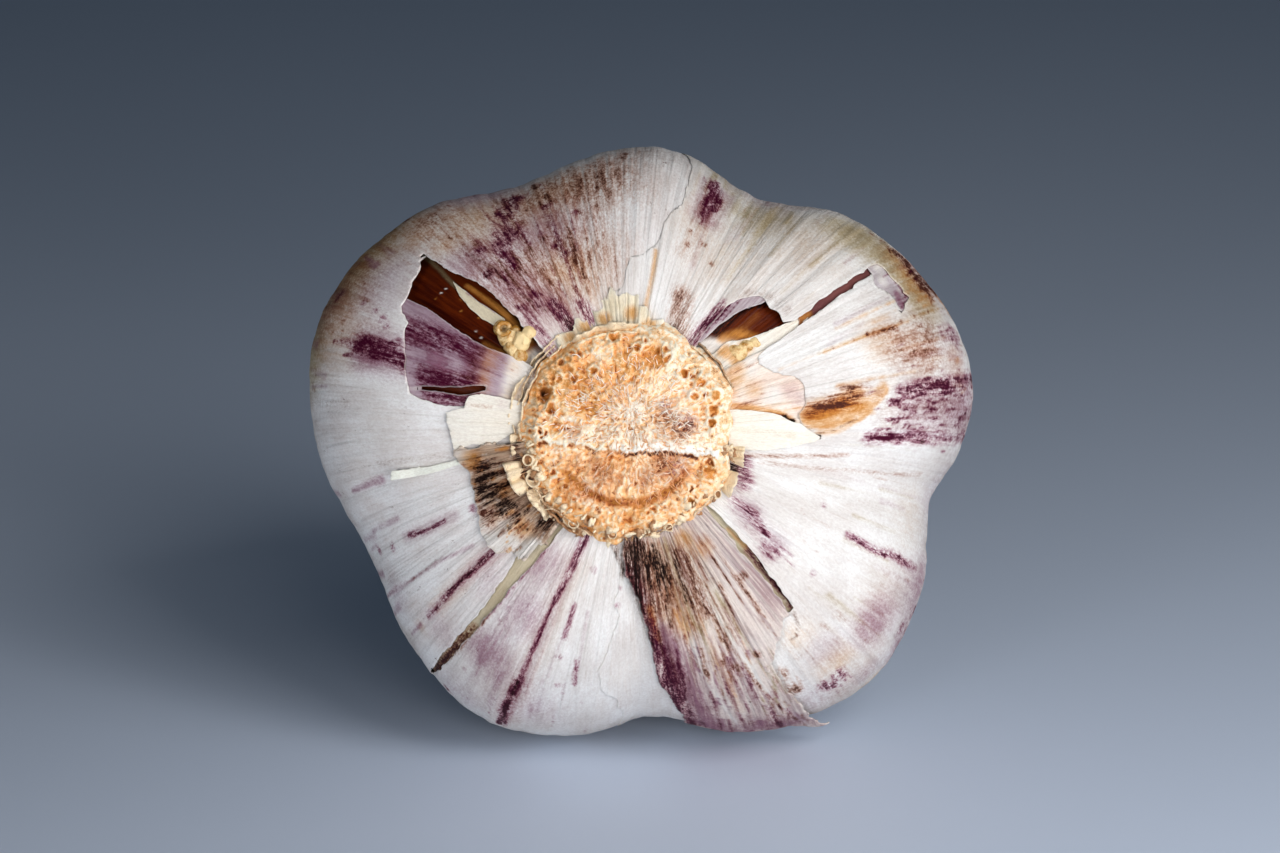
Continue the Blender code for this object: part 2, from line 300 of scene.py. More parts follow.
def add_wall(piece: bpy.types.Object, thickness: float, offset: float) -> None:
    """Gives a sheet a wall of some millimetres, inwards at an offset of -1 and both ways at 0."""
    wall = piece.modifiers.new("wall", "SOLIDIFY")
    wall.thickness = thickness * MM
    wall.offset = offset


class Socket:
    """A value in a material, so that what is worked out from it reads as a sum."""

    def __init__(self, shader: "Shader", output: bpy.types.NodeSocket) -> None:
        """Keeps the value's socket and the material that it is in."""
        self.shader = shader
        self.output = output

    def maths(self, operation: str, *others: "Socket | float") -> "Socket":
        """The result of a Math node that starts from this value."""
        return self.shader.node("ShaderNodeMath", {"operation": operation}, {}, [self, *others])

    def __add__(self, other: "Socket | float") -> "Socket":
        """This value and another."""
        return self.maths("ADD", other)

    def __radd__(self, other: float) -> "Socket":
        """A number and this value."""
        return self.maths("ADD", other)

    def __sub__(self, other: "Socket | float") -> "Socket":
        """This value less another."""
        return self.maths("SUBTRACT", other)

    def __rsub__(self, other: float) -> "Socket":
        """A number less this value."""
        return self * -1.0 + other

    def __mul__(self, other: "Socket | float") -> "Socket":
        """This value times another."""
        return self.maths("MULTIPLY", other)

    def __rmul__(self, other: float) -> "Socket":
        """A number times this value."""
        return self.maths("MULTIPLY", other)

    def capped(self) -> "Socket":
        """The value held between 0 and 1."""
        return self.shader.node("ShaderNodeClamp", {}, {}, [self])

    def step(self, low: float, high: float) -> "Socket":
        """Rises smoothly from 0 at low to 1 at high."""
        settings = {"interpolation_type": "SMOOTHSTEP"}
        return self.shader.node("ShaderNodeMapRange", settings, {"From Min": low, "From Max": high}, [self])

    def crisp(self) -> "Socket":
        """Noise with more of its light and dark ends."""
        return self.step(0.34, 0.66)


class Shader:
    """One material, and the methods that lay its nodes."""

    def __init__(self, name: str) -> None:
        """Starts a material without nodes.

        Args:
            name: The material's name.
        """
        self.material = bpy.data.materials.new(name)
        self.material.use_nodes = True
        self.tree = self.material.node_tree
        self.tree.nodes.clear()

    def node(
        self, kind: str, settings: dict, named: dict, first: list | tuple = (), output: str | int = 0
    ) -> Socket:
        """Adds any node.

        Args:
            kind: The node's type.
            settings: What is set on the node itself, before its sockets.
            named: Values or sockets for its inputs, by name or by number.
            first: Values or sockets for its first inputs, in order.
            output: Which of its outputs to give back.

        Returns:
            The output, ready for arithmetic.
        """
        made = self.tree.nodes.new(kind)
        for key, value in settings.items():
            setattr(made, key, value)
        for key, value in [*enumerate(first), *named.items()]:
            if isinstance(value, Socket):
                self.tree.links.new(value.output, made.inputs[key])
            else:
                made.inputs[key].default_value = value
        return Socket(self, made.outputs[output])

    def number(self, name: str) -> Socket:
        """A number stored on the mesh."""
        return self.node("ShaderNodeAttribute", {"attribute_name": name}, {}, output="Fac")

    def vector(self, name: str) -> Socket:
        """A vector stored on the mesh."""
        return self.node("ShaderNodeAttribute", {"attribute_name": name}, {}, output="Vector")

    def object_place(self) -> Socket:
        """The place on the object, in millimetres."""
        place = self.node("ShaderNodeTexCoord", {}, {}, output="Object")
        return self.scaled(place, (1 / MM, 1 / MM, 1 / MM))

    def scaled(self, vector: Socket, scale: Point) -> Socket:
        """A vector stretched along each axis."""
        return self.node("ShaderNodeVectorMath", {"operation": "MULTIPLY"}, {}, [vector, scale])

    def noise(self, vector: Socket, scale: float, detail: float = 3.0, rough: float = 0.55) -> Socket:
        """Soft noise from 0 to 1, with features one unit across at a scale of 1."""
        named = {"Vector": vector, "Scale": scale, "Detail": detail, "Roughness": rough}
        return self.node("ShaderNodeTexNoise", {}, named)

    def cells(self, vector: Socket, scale: float) -> Socket:
        """The distance to the nearest of many scattered points."""
        return self.node("ShaderNodeTexVoronoi", {}, {"Vector": vector, "Scale": scale}, output="Distance")

    def mix(
        self, share: Socket | float, first: Socket | Colour, second: Socket | Colour, blend: str = "MIX"
    ) -> Socket:
        """Mixes two colours.

        Args:
            share: How much of the second there is, from 0 to 1.
            first: The colour at a share of 0.
            second: The colour at a share of 1.
            blend: The Mix node's blend type.

        Returns:
            The mixed colour.
        """
        settings = {"data_type": "RGBA", "blend_type": blend, "clamp_factor": True}
        ends = {6: with_alpha(first), 7: with_alpha(second)}
        return self.node("ShaderNodeMix", settings, {0: share, **ends}, output=2)

    def bump(self, height: Socket, depth: float, under: Socket | None = None) -> Socket:
        """A normal tilted by a height from 0 to 1 that stands for a depth in millimetres."""
        named = {"Height": height, "Distance": depth * MM}
        if under is not None:
            named["Normal"] = under
        return self.node("ShaderNodeBump", {}, named)

    def finish(self, **inputs: Socket | float | Colour) -> bpy.types.Material:
        """Dresses the material in a Principled shader.

        Args:
            inputs: Its sockets, with an underscore for each space in a name.

        Returns:
            The material.
        """
        named = {key.replace("_", " "): with_alpha(value) for key, value in inputs.items()}
        surface = self.node("ShaderNodeBsdfPrincipled", {}, named)
        out = self.tree.nodes.new("ShaderNodeOutputMaterial")
        self.tree.links.new(surface.output, out.inputs["Surface"])
        return self.material


def with_alpha(value: Socket | float | Colour) -> Socket | float | tuple[float, ...]:
    """A colour as a node takes it; anything else is left as it is."""
    return (*value, 1.0) if isinstance(value, tuple) and len(value) == 3 else value


class Pigment(Enum):
    """What a mark on a skin is made of, and the attribute that carries it."""

    PURPLE = "purple"
    MAUVE = "mauve"
    BROWN = "brown"
    AMBER = "amber"
    DARK = "dark"
    PALE = "pale"
    OLIVE = "olive"

    def stain(self, shader: Shader, density: Socket, under: Socket, ends: Place) -> Socket:
        """Stains a colour.

        Args:
            shader: The material's shader.
            density: How much of the pigment there is, from 0 up.
            under: The colour that it stains.
            ends: The densities where its darkest parts start and are full.

        Returns:
            The stained colour.
        """
        thin, dense = PIGMENT_COLOURS[self]
        halo = shader.mix(density.step(0.03, 0.85) * 0.92, under, thin, "MULTIPLY")
        return shader.mix(density.step(*ends), halo, dense)

    def soft(self) -> bool:
        """Whether it lies as a soft wash, without crisp dark parts."""
        return self in (PALE, OLIVE, AMBER, MAUVE)


PURPLE, MAUVE, BROWN, AMBER, DARK, PALE, OLIVE = Pigment

# What each pigment does to the colour under it where it is thin, and its own colour where it is dense.
PIGMENT_COLOURS: dict[Pigment, tuple[Colour, Colour]] = {
    PALE: ((1.0, 1.0, 1.0), (0.86, 0.82, 0.77)),
    OLIVE: ((0.72, 0.62, 0.42), (0.30, 0.23, 0.12)),
    AMBER: ((0.95, 0.66, 0.38), (0.60, 0.25, 0.05)),
    MAUVE: ((0.62, 0.45, 0.52), (0.28, 0.12, 0.18)),
    BROWN: ((0.60, 0.36, 0.27), (0.075, 0.018, 0.010)),
    PURPLE: ((0.44, 0.15, 0.24), (0.055, 0.001, 0.016)),
    DARK: ((0.45, 0.34, 0.30), (0.010, 0.003, 0.002)),
}


@dataclass(frozen=True)
class SkinFinish:
    """Dry papery skin with veins that run from the plate to the neck.

    Attributes:
        name: The material's name.
        ground: Its main colour.
        second: The colour that its clouds and veins turn to.
        bands: How strongly they turn.
        veins: How dark its thin veins are.
        specks: How many dark specks it has, from 0 to 1.
        age: How much it darkens towards the belt and behind it, partly as older dull skin and partly as
            painted shade along the bulb's outline.
        roughness: How matt it is.
        relief: How deep its veins stand, in millimetres.
        edge: The colour of its torn edge.
        dirt_and_limb_shade: The colour that it darkens to there, both dirt and painted shade.
        streaky: How much of its two colours lies in streaks.
    """

    name: str
    ground: Colour = (0.84, 0.80, 0.77)
    second: Colour = (0.66, 0.57, 0.53)
    bands: float = 0.5
    veins: float = 0.24
    specks: float = 0.15
    age: float = 0.6
    roughness: float = 0.52
    relief: float = 0.12
    edge: Colour = (0.88, 0.84, 0.78)
    dirt_and_limb_shade: Colour = (0.34, 0.28, 0.22)
    streaky: float = 0.16

    # The noises it is made of: the stretch across, across and along the fibres, the detail and the roughness.
    CLOUD = ((0.24, 0.24, 0.14), 5.0, 0.6)
    RIBS = ((1.0, 1.0, 0.05), 2.0, 0.55)
    STREAKS = ((2.6, 2.6, 0.16), 3.0, 0.6)
    GRAIN = ((4.6, 4.6, 3.0), 5.0, 0.75)
    BLOTS = ((1.3, 1.3, 0.6), 4.0, 0.65)
    VEIN = (0.60, 0.46, 0.38)
    SPECK = (0.16, 0.055, 0.045)
    DUST = (0.76, 0.71, 0.70)

    def material(self) -> bpy.types.Material:
        """The finish as a material, made once."""
        made = bpy.data.materials.get(self.name)
        return made or self.make()

    def make(self) -> bpy.types.Material:
        """Lays the finish's nodes."""
        shader = Shader(self.name)
        fibre = shader.vector("fibre")
        cloud, ribs, streaks, grain, blots = (
            shader.noise(shader.scaled(fibre, stretch), 1.0, detail, rough)
            for stretch, detail, rough in (self.CLOUD, self.RIBS, self.STREAKS, self.GRAIN, self.BLOTS)
        )
        share = cloud.step(0.34, 0.68) * 0.8 + (streaks.step(0.36, 0.64) - 0.5) * self.streaky
        colour = shader.mix(share.capped() * self.bands, self.ground, self.second)
        line = 1.0 - (ribs - 0.5).maths("ABSOLUTE").step(0.0, 0.010)
        colour = shader.mix(line * cloud.step(0.4, 0.62) * self.veins, colour, self.VEIN, "MULTIPLY")
        # Darker towards the belt and behind it: partly older, duller skin, and partly painted shade along the
        # bulb's outline as seen from the front.
        age = (shader.number("reach") + (cloud - 0.5) * 0.9 + (blots - 0.5) * 0.5).step(0.65, 1.5) * self.age
        colour = shader.mix(age, colour, self.dirt_and_limb_shade)
        colour = self.speckled(shader, blots, grain, colour)
        texture = streaks.crisp() * 0.24 + blots.crisp() * 0.34 + grain.crisp() * 0.42
        for pigment in PIGMENT_COLOURS:
            amount = shader.number(pigment.value)
            if pigment.soft():
                colour = pigment.stain(shader, amount * (texture * 0.8 + 0.6), colour, (0.15, 1.5))
            else:
                dense = (amount * 0.9).capped() * (texture * 1.95 + 0.02)
                colour = pigment.stain(shader, dense, colour, (0.50, 1.20))
        colour = shader.mix(grain.crisp() * 0.55, colour, self.DUST, "MULTIPLY")
        lip = 1.0 - shader.number("edge").step(0.0, 0.16)
        colour = shader.mix(lip * 0.28, colour, self.edge)
        normal = shader.bump(ribs, self.relief * 2.2)
        normal = shader.bump(streaks, self.relief * 0.4, normal)
        normal = shader.bump(grain, self.relief * 0.5, normal)
        rough = self.roughness + (grain - 0.5) * 0.3
        return shader.finish(Base_Color=colour, Roughness=rough, Normal=normal, Specular_IOR_Level=0.08)

    def speckled(self, shader: Shader, blots: Socket, grain: Socket, colour: Socket) -> Socket:
        """The colour with small dark specks scattered over it."""
        specks = blots * 0.55 + grain * 0.45
        low = 0.645 - 0.07 * self.specks
        return shader.mix(specks.step(low, low + 0.06) * min(1.0, self.specks * 1.4), colour, self.SPECK)


@dataclass(frozen=True)
class Mark:
    """A stain or a streak on a skin.

    Attributes:
        pigment: What it is made of.
        strength: How dense it is, up to 1.
        width: The distance from its line at which it has faded, in millimetres.
        path: The places its line goes through; one place makes a spot.
        taper: How much thinner it is at its far end, from 0 to 1.
    """

    pigment: Pigment
    strength: float
    width: float
    path: tuple[Place, ...]
    taper: float = 0.0

    def line(self) -> tuple[np.ndarray, np.ndarray]:
        """Points along the mark's line in the bulb's frame, and how far along it each is."""
        places = np.array(self.path, float)
        if len(places) == 1:
            return FORM.base(places[:, 0], places[:, 1]), np.zeros(1)
        ends = FORM.base(places[:, 0], places[:, 1])
        lengths = np.linalg.norm(np.diff(ends, axis=0), axis=1)
        at = np.concatenate([[0.0], np.cumsum(lengths)])
        along = np.linspace(0.0, at[-1], max(2, int(at[-1] / max(0.25, self.width / 3)) + 1))
        line = FORM.base(np.interp(along, at, places[:, 0]), np.interp(along, at, places[:, 1]))
        return line, along / at[-1]

    def density(self, points: np.ndarray) -> np.ndarray:
        """The mark's density at points of the outer face."""
        line, along = self.line()
        low, high = line.min(axis=0) - self.width, line.max(axis=0) + self.width
        near = np.flatnonzero(((points >= low) & (points <= high)).all(axis=1))
        found = np.zeros(len(points))
        if len(near) == 0:
            return found
        gaps = np.linalg.norm(points[near, None, :] - line[None, :, :], axis=2)
        gaps = gaps / (self.width * (1 - self.taper * along))[None, :]
        found[near] = self.strength * (1 - smoothstep(gaps.min(axis=1), 0.0, 1.0))
        return found


@dataclass(frozen=True)
class Bump:
    """A place where a skin stands up from what is under it, or is pushed in if its height is under 0."""

    at: Place
    radius: float
    height: float

    def lift(self, points: np.ndarray) -> np.ndarray:
        """How far it moves points of the outer face, in millimetres."""
        middle = FORM.base(*np.array(unit((self.at,))).T)
        share = np.linalg.norm(points - middle, axis=1) / self.radius
        return self.height * (1 - smoothstep(share, 0.0, 1.0))


@dataclass(frozen=True)
class Outline:
    """The torn edge of a skin, as places in order around it.

    Attributes:
        places: The corners, each joined to the next and the last to the first.
        tear: How far the edge wanders off the line between its corners, in millimetres.
        seed: Picks another tear.
    """

    places: tuple[Place, ...]
    tear: float = 0.14
    seed: int = 0

    STEP_MM = 0.12

    def torn(self) -> np.ndarray:
        """Places close together along the torn edge."""
        corners = np.array(unit((*self.places, self.places[0])), float)
        ends = FORM.base(corners[:, 0], corners[:, 1])
        lengths = np.maximum(np.linalg.norm(np.diff(ends, axis=0), axis=1), 1e-6)
        at = np.concatenate([[0.0], np.cumsum(lengths)])
        along = np.arange(0.0, at[-1], self.STEP_MM)
        angle, reach = np.interp(along, at, corners[:, 0]), np.interp(along, at, corners[:, 1])
        points = FORM.base(angle, reach)
        radius = np.maximum(np.hypot(points[:, 0], points[:, 1]), 3.0)
        wander = [
            noise(points * 0.9, seed) * 1.3 + noise(points * 2.8, seed + 5, 2) * 0.7
            for seed in (self.seed + 11, self.seed + 22)
        ]
        angle = angle + np.degrees(self.tear * wander[0] / radius)
        return np.stack([angle, reach + self.tear * wander[1] / REACH_MM], axis=1)


def inside(columns: np.ndarray, rows: np.ndarray, edges: list[np.ndarray]) -> np.ndarray:
    """Which crossings of a lattice lie inside closed outlines.

    Args:
        columns: The lattice's angles.
        rows: The lattice's reaches, rising.
        edges: Closed outlines, each as places in order.

    Returns:
        One row of truths for each column.
    """
    starts = np.concatenate(edges)
    ends = np.concatenate([np.roll(edge, -1, axis=0) for edge in edges])
    found = np.zeros((len(columns), len(rows)), bool)
    for index, angle in enumerate(columns):
        crossing = (starts[:, 0] <= angle) != (ends[:, 0] <= angle)
        first, second = starts[crossing], ends[crossing]
        share = (angle - first[:, 0]) / (second[:, 0] - first[:, 0])
        reaches = np.sort(first[:, 1] + (second[:, 1] - first[:, 1]) * share)
        found[index] = np.searchsorted(reaches, rows) % 2 == 1
    return found


@dataclass(frozen=True)
class Sheet:
    """One papery skin or a scrap of one, cut out of the bulb's form by its outline.

    Attributes:
        name: The piece's name.
        outline: Its torn edge.
        lifts: Its height above the outer face, as (angle, height) from one side to the other.
        finish: The material it is dressed in.
        nodes: The nodes of the frame that it stands for.
        slot: The name of a material slot, passed on when it is settled.
        holes: Outlines cut out of it.
        spacing: The size of its faces on the front of the bulb, in millimetres.
        back_spacing: Their length behind the belt.
        thickness: Its wall.
        pleats: How high its fine pleats stand.
        bumps: Places where it stands up or is pushed in.
        marks: Its stains and streaks.
        seed: Picks other pleats.
    """

    name: str
    outline: Outline
    lifts: tuple[Place, ...]
    finish: SkinFinish
    nodes: tuple[str, ...] = ()
    slot: str = "outer_skin"
    holes: tuple[Outline, ...] = ()
    spacing: float = 0.35
    back_spacing: float = 1.2
    thickness: float = 0.12
    pleats: float = 0.1
    bumps: tuple[Bump, ...] = ()
    marks: tuple[Mark, ...] = ()
    seed: int = 0

    FRONT_END = 1.12
    BELT_MM = 28.0
    MARGIN = (0.1, 0.004)
    EDGE_MM = 3.0

    def lattice(self, edge: np.ndarray) -> tuple[np.ndarray, np.ndarray]:
        """The angles and the reaches of the lattice that the sheet is cut from."""
        low, high = edge.min(axis=0), edge.max(axis=0)
        columns = int(math.radians(high[0] - low[0]) * self.BELT_MM / self.spacing) + 2
        front_end = min(high[1], self.FRONT_END)
        front = max(1, int((front_end - low[1]) * REACH_MM / self.spacing) + 1)
        back = max(0, int((high[1] - front_end) * REACH_MM / self.back_spacing))
        wide, tall = self.MARGIN
        reaches = np.linspace(low[1] - tall, front_end, front + 1)
        if back:
            reaches = np.concatenate([reaches, np.linspace(front_end, high[1] + tall, back + 1)[1:]])
        else:
            reaches[-1] += tall
        return np.linspace(low[0] - wide, high[0] + wide, columns + 1), reaches

    def cut_out(self) -> bmesh.types.BMesh:
        """The sheet's faces, laid flat: x is the angle, y the reach and z the distance from the torn edge."""
        edges = [self.outline.torn(), *(hole.torn() for hole in self.holes)]
        columns, rows = self.lattice(edges[0])
        shape = bmesh.new()
        bmesh.ops.create_grid(shape, x_segments=len(columns) - 1, y_segments=len(rows) - 1, size=0.5)
        within = inside(columns, rows, edges)
        places = {}
        for vertex in shape.verts:
            across = round((vertex.co.x + 0.5) * (len(columns) - 1))
            along = round((vertex.co.y + 0.5) * (len(rows) - 1))
            places[vertex] = bool(within[across, along])
            vertex.co = (columns[across], rows[along], 0.0)
        outside = [face for face in shape.faces if not any(places[vertex] for vertex in face.verts)]
        bmesh.ops.delete(shape, geom=outside, context="FACES")
        self.snap(shape, places, np.concatenate(edges))
        bmesh.ops.reverse_faces(shape, faces=shape.faces)
        return shape

    def snap(self, shape: bmesh.types.BMesh, places: dict, edge: np.ndarray) -> None:
        """Moves the vertices that are left outside onto the torn edge, and measures how far in the rest lie.

        Args:
            shape: The sheet, laid flat.
            places: Whether each vertex is inside the outline.
            edge: Places along the torn edges.
        """
        points = FORM.base(edge[:, 0], edge[:, 1])
        tree = KDTree(len(points))
        for index, point in enumerate(points):
            tree.insert(point, index)
        tree.balance()
        kept = list(shape.verts)
        flat = np.array([vertex.co for vertex in kept])
        for vertex, point in zip(kept, FORM.base(flat[:, 0], flat[:, 1])):
            _, index, distance = tree.find(point)
            if places[vertex]:
                vertex.co.z = distance
            else:
                vertex.co = (edge[index, 0], edge[index, 1], 0.0)

    def relief(self, points: np.ndarray, angle: np.ndarray, reach: np.ndarray) -> np.ndarray:
        """How high each point stands above the outer face."""
        knots = np.array(self.lifts)
        lift = np.interp(angle, knots[:, 0], knots[:, 1])
        ways = ring(np.radians(angle), FIBRE_RADIUS, reach * 3.0)
        lift += self.pleats * (noise(ways * 0.8, self.seed) + 0.5 * noise(ways * 2.0, self.seed + 3))
        lift += 1.5 * self.pleats * noise(points * 0.16, self.seed + 7)
        for bump in self.bumps:
            lift += bump.lift(points)
        return lift

    def build(self) -> None:
        """The sheet, in place and dressed."""
        mesh = mesh_of(self.cut_out(), self.name)
        angle, reach, distance = coordinates(mesh).T
        points = FORM.base(angle, reach)
        placed = FORM.skin(angle, reach, self.relief(points, angle, reach))
        mesh.vertices.foreach_set("co", placed.ravel())
        self.paint(mesh, points, angle, reach, distance)
        mesh.shade_smooth()
        sheet = settle(mesh, self.finish.material(), self.slot, *self.nodes)
        add_wall(sheet, self.thickness, -1.0)

    def paint(
        self, mesh: bpy.types.Mesh, points: np.ndarray, angle: np.ndarray, reach: np.ndarray,
        distance: np.ndarray,
    ) -> None:
        """Stores the marks, the run of the fibres and the distance from the torn edge on the mesh.

        Args:
            mesh: The sheet's mesh.
            points: Its vertices' places on the outer face.
            angle: Their angles.
            reach: Their reaches.
            distance: How far each is from the torn edge, in millimetres.
        """
        fibre = ring(np.radians(angle), FIBRE_RADIUS, reach * REACH_MM)
        attribute = mesh.attributes.new("fibre", "FLOAT_VECTOR", "POINT")
        attribute.data.foreach_set("vector", fibre.astype(np.float32).ravel())
        store(mesh, "edge", np.minimum(distance, self.EDGE_MM))
        store(mesh, "reach", reach)
        for pigment in Pigment:
            density = np.zeros(len(points))
            for mark in self.marks:
                if mark.pigment is pigment:
                    found = mark.density(points)
                    density = np.maximum(density, found) + 0.5 * np.minimum(density, found)
            store(mesh, pigment.value, density)


WHITE = SkinFinish("skin_white", ground=(0.86, 0.85, 0.83), second=(0.66, 0.60, 0.56), bands=0.80, age=0.42)
BEIGE = SkinFinish(
    "skin_beige", ground=(0.91, 0.90, 0.89), second=(0.66, 0.57, 0.53), bands=0.65, specks=0.5, age=0.5,
)
STAINED = SkinFinish(
    "skin_stained", ground=(0.80, 0.70, 0.64), second=(0.40, 0.26, 0.27), bands=0.9, specks=0.6, age=0.1,
    relief=0.25, streaky=0.8,
)
CREAM = SkinFinish(
    "skin_cream", ground=(0.93, 0.89, 0.80), second=(0.84, 0.73, 0.58), bands=0.4, specks=0.0, age=0.0,
)
YELLOW_CREAM = SkinFinish(
    "yellow_cream_tissue", ground=(1.0, 0.95, 0.80), second=(0.96, 0.80, 0.52), bands=0.6, specks=0.1,
    age=0.0, relief=0.25,
)
SLIVER = SkinFinish(
    "clove_sliver", ground=(0.78, 0.70, 0.52), second=(0.66, 0.55, 0.36), bands=0.5, specks=0.0, age=0.0,
    roughness=0.35,
)
MEMBRANE = SkinFinish(
    "clove_membrane", ground=(0.62, 0.55, 0.40), second=(0.40, 0.31, 0.18), bands=0.6, specks=0.1, age=0.0,
    roughness=0.35,
)
GREENISH = SkinFinish(
    "greenish_strip", ground=(0.96, 0.97, 0.86), second=(0.92, 0.92, 0.82), bands=0.3, specks=0.0, age=0.0,
)
LILAC = SkinFinish(
    "inner_purple_skin", ground=(0.50, 0.39, 0.44), second=(0.24, 0.12, 0.18), bands=0.9, specks=0.4, age=0.0,
    streaky=0.4,
)
PINKISH = SkinFinish(
    "inner_pink_skin", ground=(0.93, 0.84, 0.74), second=(0.78, 0.58, 0.48), bands=0.7, specks=0.1, age=0.0,
    streaky=0.6,
)
THIN_GREY = SkinFinish(
    "thin_grey_skin", ground=(0.62, 0.56, 0.58), second=(0.34, 0.25, 0.28), bands=1.0, specks=0.4, age=0.0,
    streaky=0.5,
)
MAROON = SkinFinish(
    "maroon_skin", ground=(0.20, 0.07, 0.065), second=(0.09, 0.025, 0.03), bands=0.9, age=0.0, roughness=0.4,
)
CRUSTED = SkinFinish(
    "skin_scab", ground=(0.80, 0.61, 0.45), second=(0.22, 0.09, 0.04), bands=1.0, specks=0.8, age=0.0,
    roughness=0.7, relief=0.3, edge=(0.95, 0.88, 0.76),
)
BROWN_CLOVE = SkinFinish(
    "brown_clove_skin", ground=(0.11, 0.016, 0.002), second=(0.030, 0.002, 0.001), bands=0.9, veins=0.5,
    specks=0.2, age=0.0, roughness=0.32, relief=0.06, edge=(0.16, 0.045, 0.010), streaky=0.6,
)


def line(pigment: Pigment, strength: float, width: float, *places: Place, taper: float = 0.0) -> Mark:
    """A streak through places of a table."""
    return Mark(pigment, strength, width, unit(places), taper)


def spots(pigment: Pigment, strength: float, width: float, *places: Place) -> tuple[Mark, ...]:
    """Several round marks of one kind."""
    return tuple(Mark(pigment, strength, width, (place,)) for place in unit(places))


def weakened(mark: Mark, chance: np.random.Generator) -> Mark:
    """A mark made fainter and thinner by chance, so that no two of a kind are alike."""
    strength = mark.strength * chance.uniform(0.5, 1.0)
    return replace(mark, strength=strength, width=mark.width * chance.uniform(0.4, 1.0))


def strands(
    pigment: Pigment, strength: float, width: float, low: Place, high: Place, count: int, seed: int,
    lengths: Place = (10, 34),
) -> tuple[Mark, ...]:
    """Thin streaks scattered between two corners, each along the fibres.

    Args:
        pigment: What they are made of.
        strength: How dense the densest is.
        width: The widest one's half width, in millimetres.
        low: The corner with the lowest angle and reach.
        high: The corner with the highest.
        count: How many there are.
        seed: Picks where they lie.
        lengths: The shortest and the longest reach that they cover, in hundredths.

    Returns:
        One mark for each.
    """
    chance = np.random.default_rng(seed)
    (left, near), (right, far) = unit((low, high))
    made = []
    for _ in range(count):
        angle, start = chance.uniform(left, right), chance.uniform(near, far)
        length = chance.uniform(lengths[0] / 100, lengths[1] / 100)
        drift = chance.normal(0.0, 0.7)
        middle = (angle + drift * 0.5, start + length / 2)
        path = ((angle, start), middle, (angle + drift, min(far, start + length)))
        made.append(weakened(Mark(pigment, strength, width, path, 0.4), chance))
    return tuple(made)


def cluster(
    pigment: Pigment, strength: float, width: float, spread: float, count: int, seed: int, *path: Place
) -> tuple[Mark, ...]:
    """Many small ragged flecks gathered along a line.

    Args:
        pigment: What they are made of.
        strength: How dense the densest is.
        width: The widest one's half width, in millimetres.
        spread: How far they stray to the sides, in degrees.
        count: How many there are.
        seed: Picks where they lie.
        path: The places that the line goes through.

    Returns:
        One mark for each.
    """
    chance = np.random.default_rng(seed)
    places = np.array(unit(path))
    made = []
    for _ in range(count):
        at = chance.uniform(0.0, len(places) - 1.0)
        angle = np.interp(at, range(len(places)), places[:, 0]) + chance.normal(0.0, spread)
        start = np.interp(at, range(len(places)), places[:, 1]) + chance.normal(0.0, 0.02)
        length = chance.uniform(0.01, 0.07)
        fleck = ((angle, start), (angle + chance.normal(0.0, 0.3), start + length))
        made.append(weakened(Mark(pigment, strength, width, fleck, 0.3), chance))
    return tuple(made)


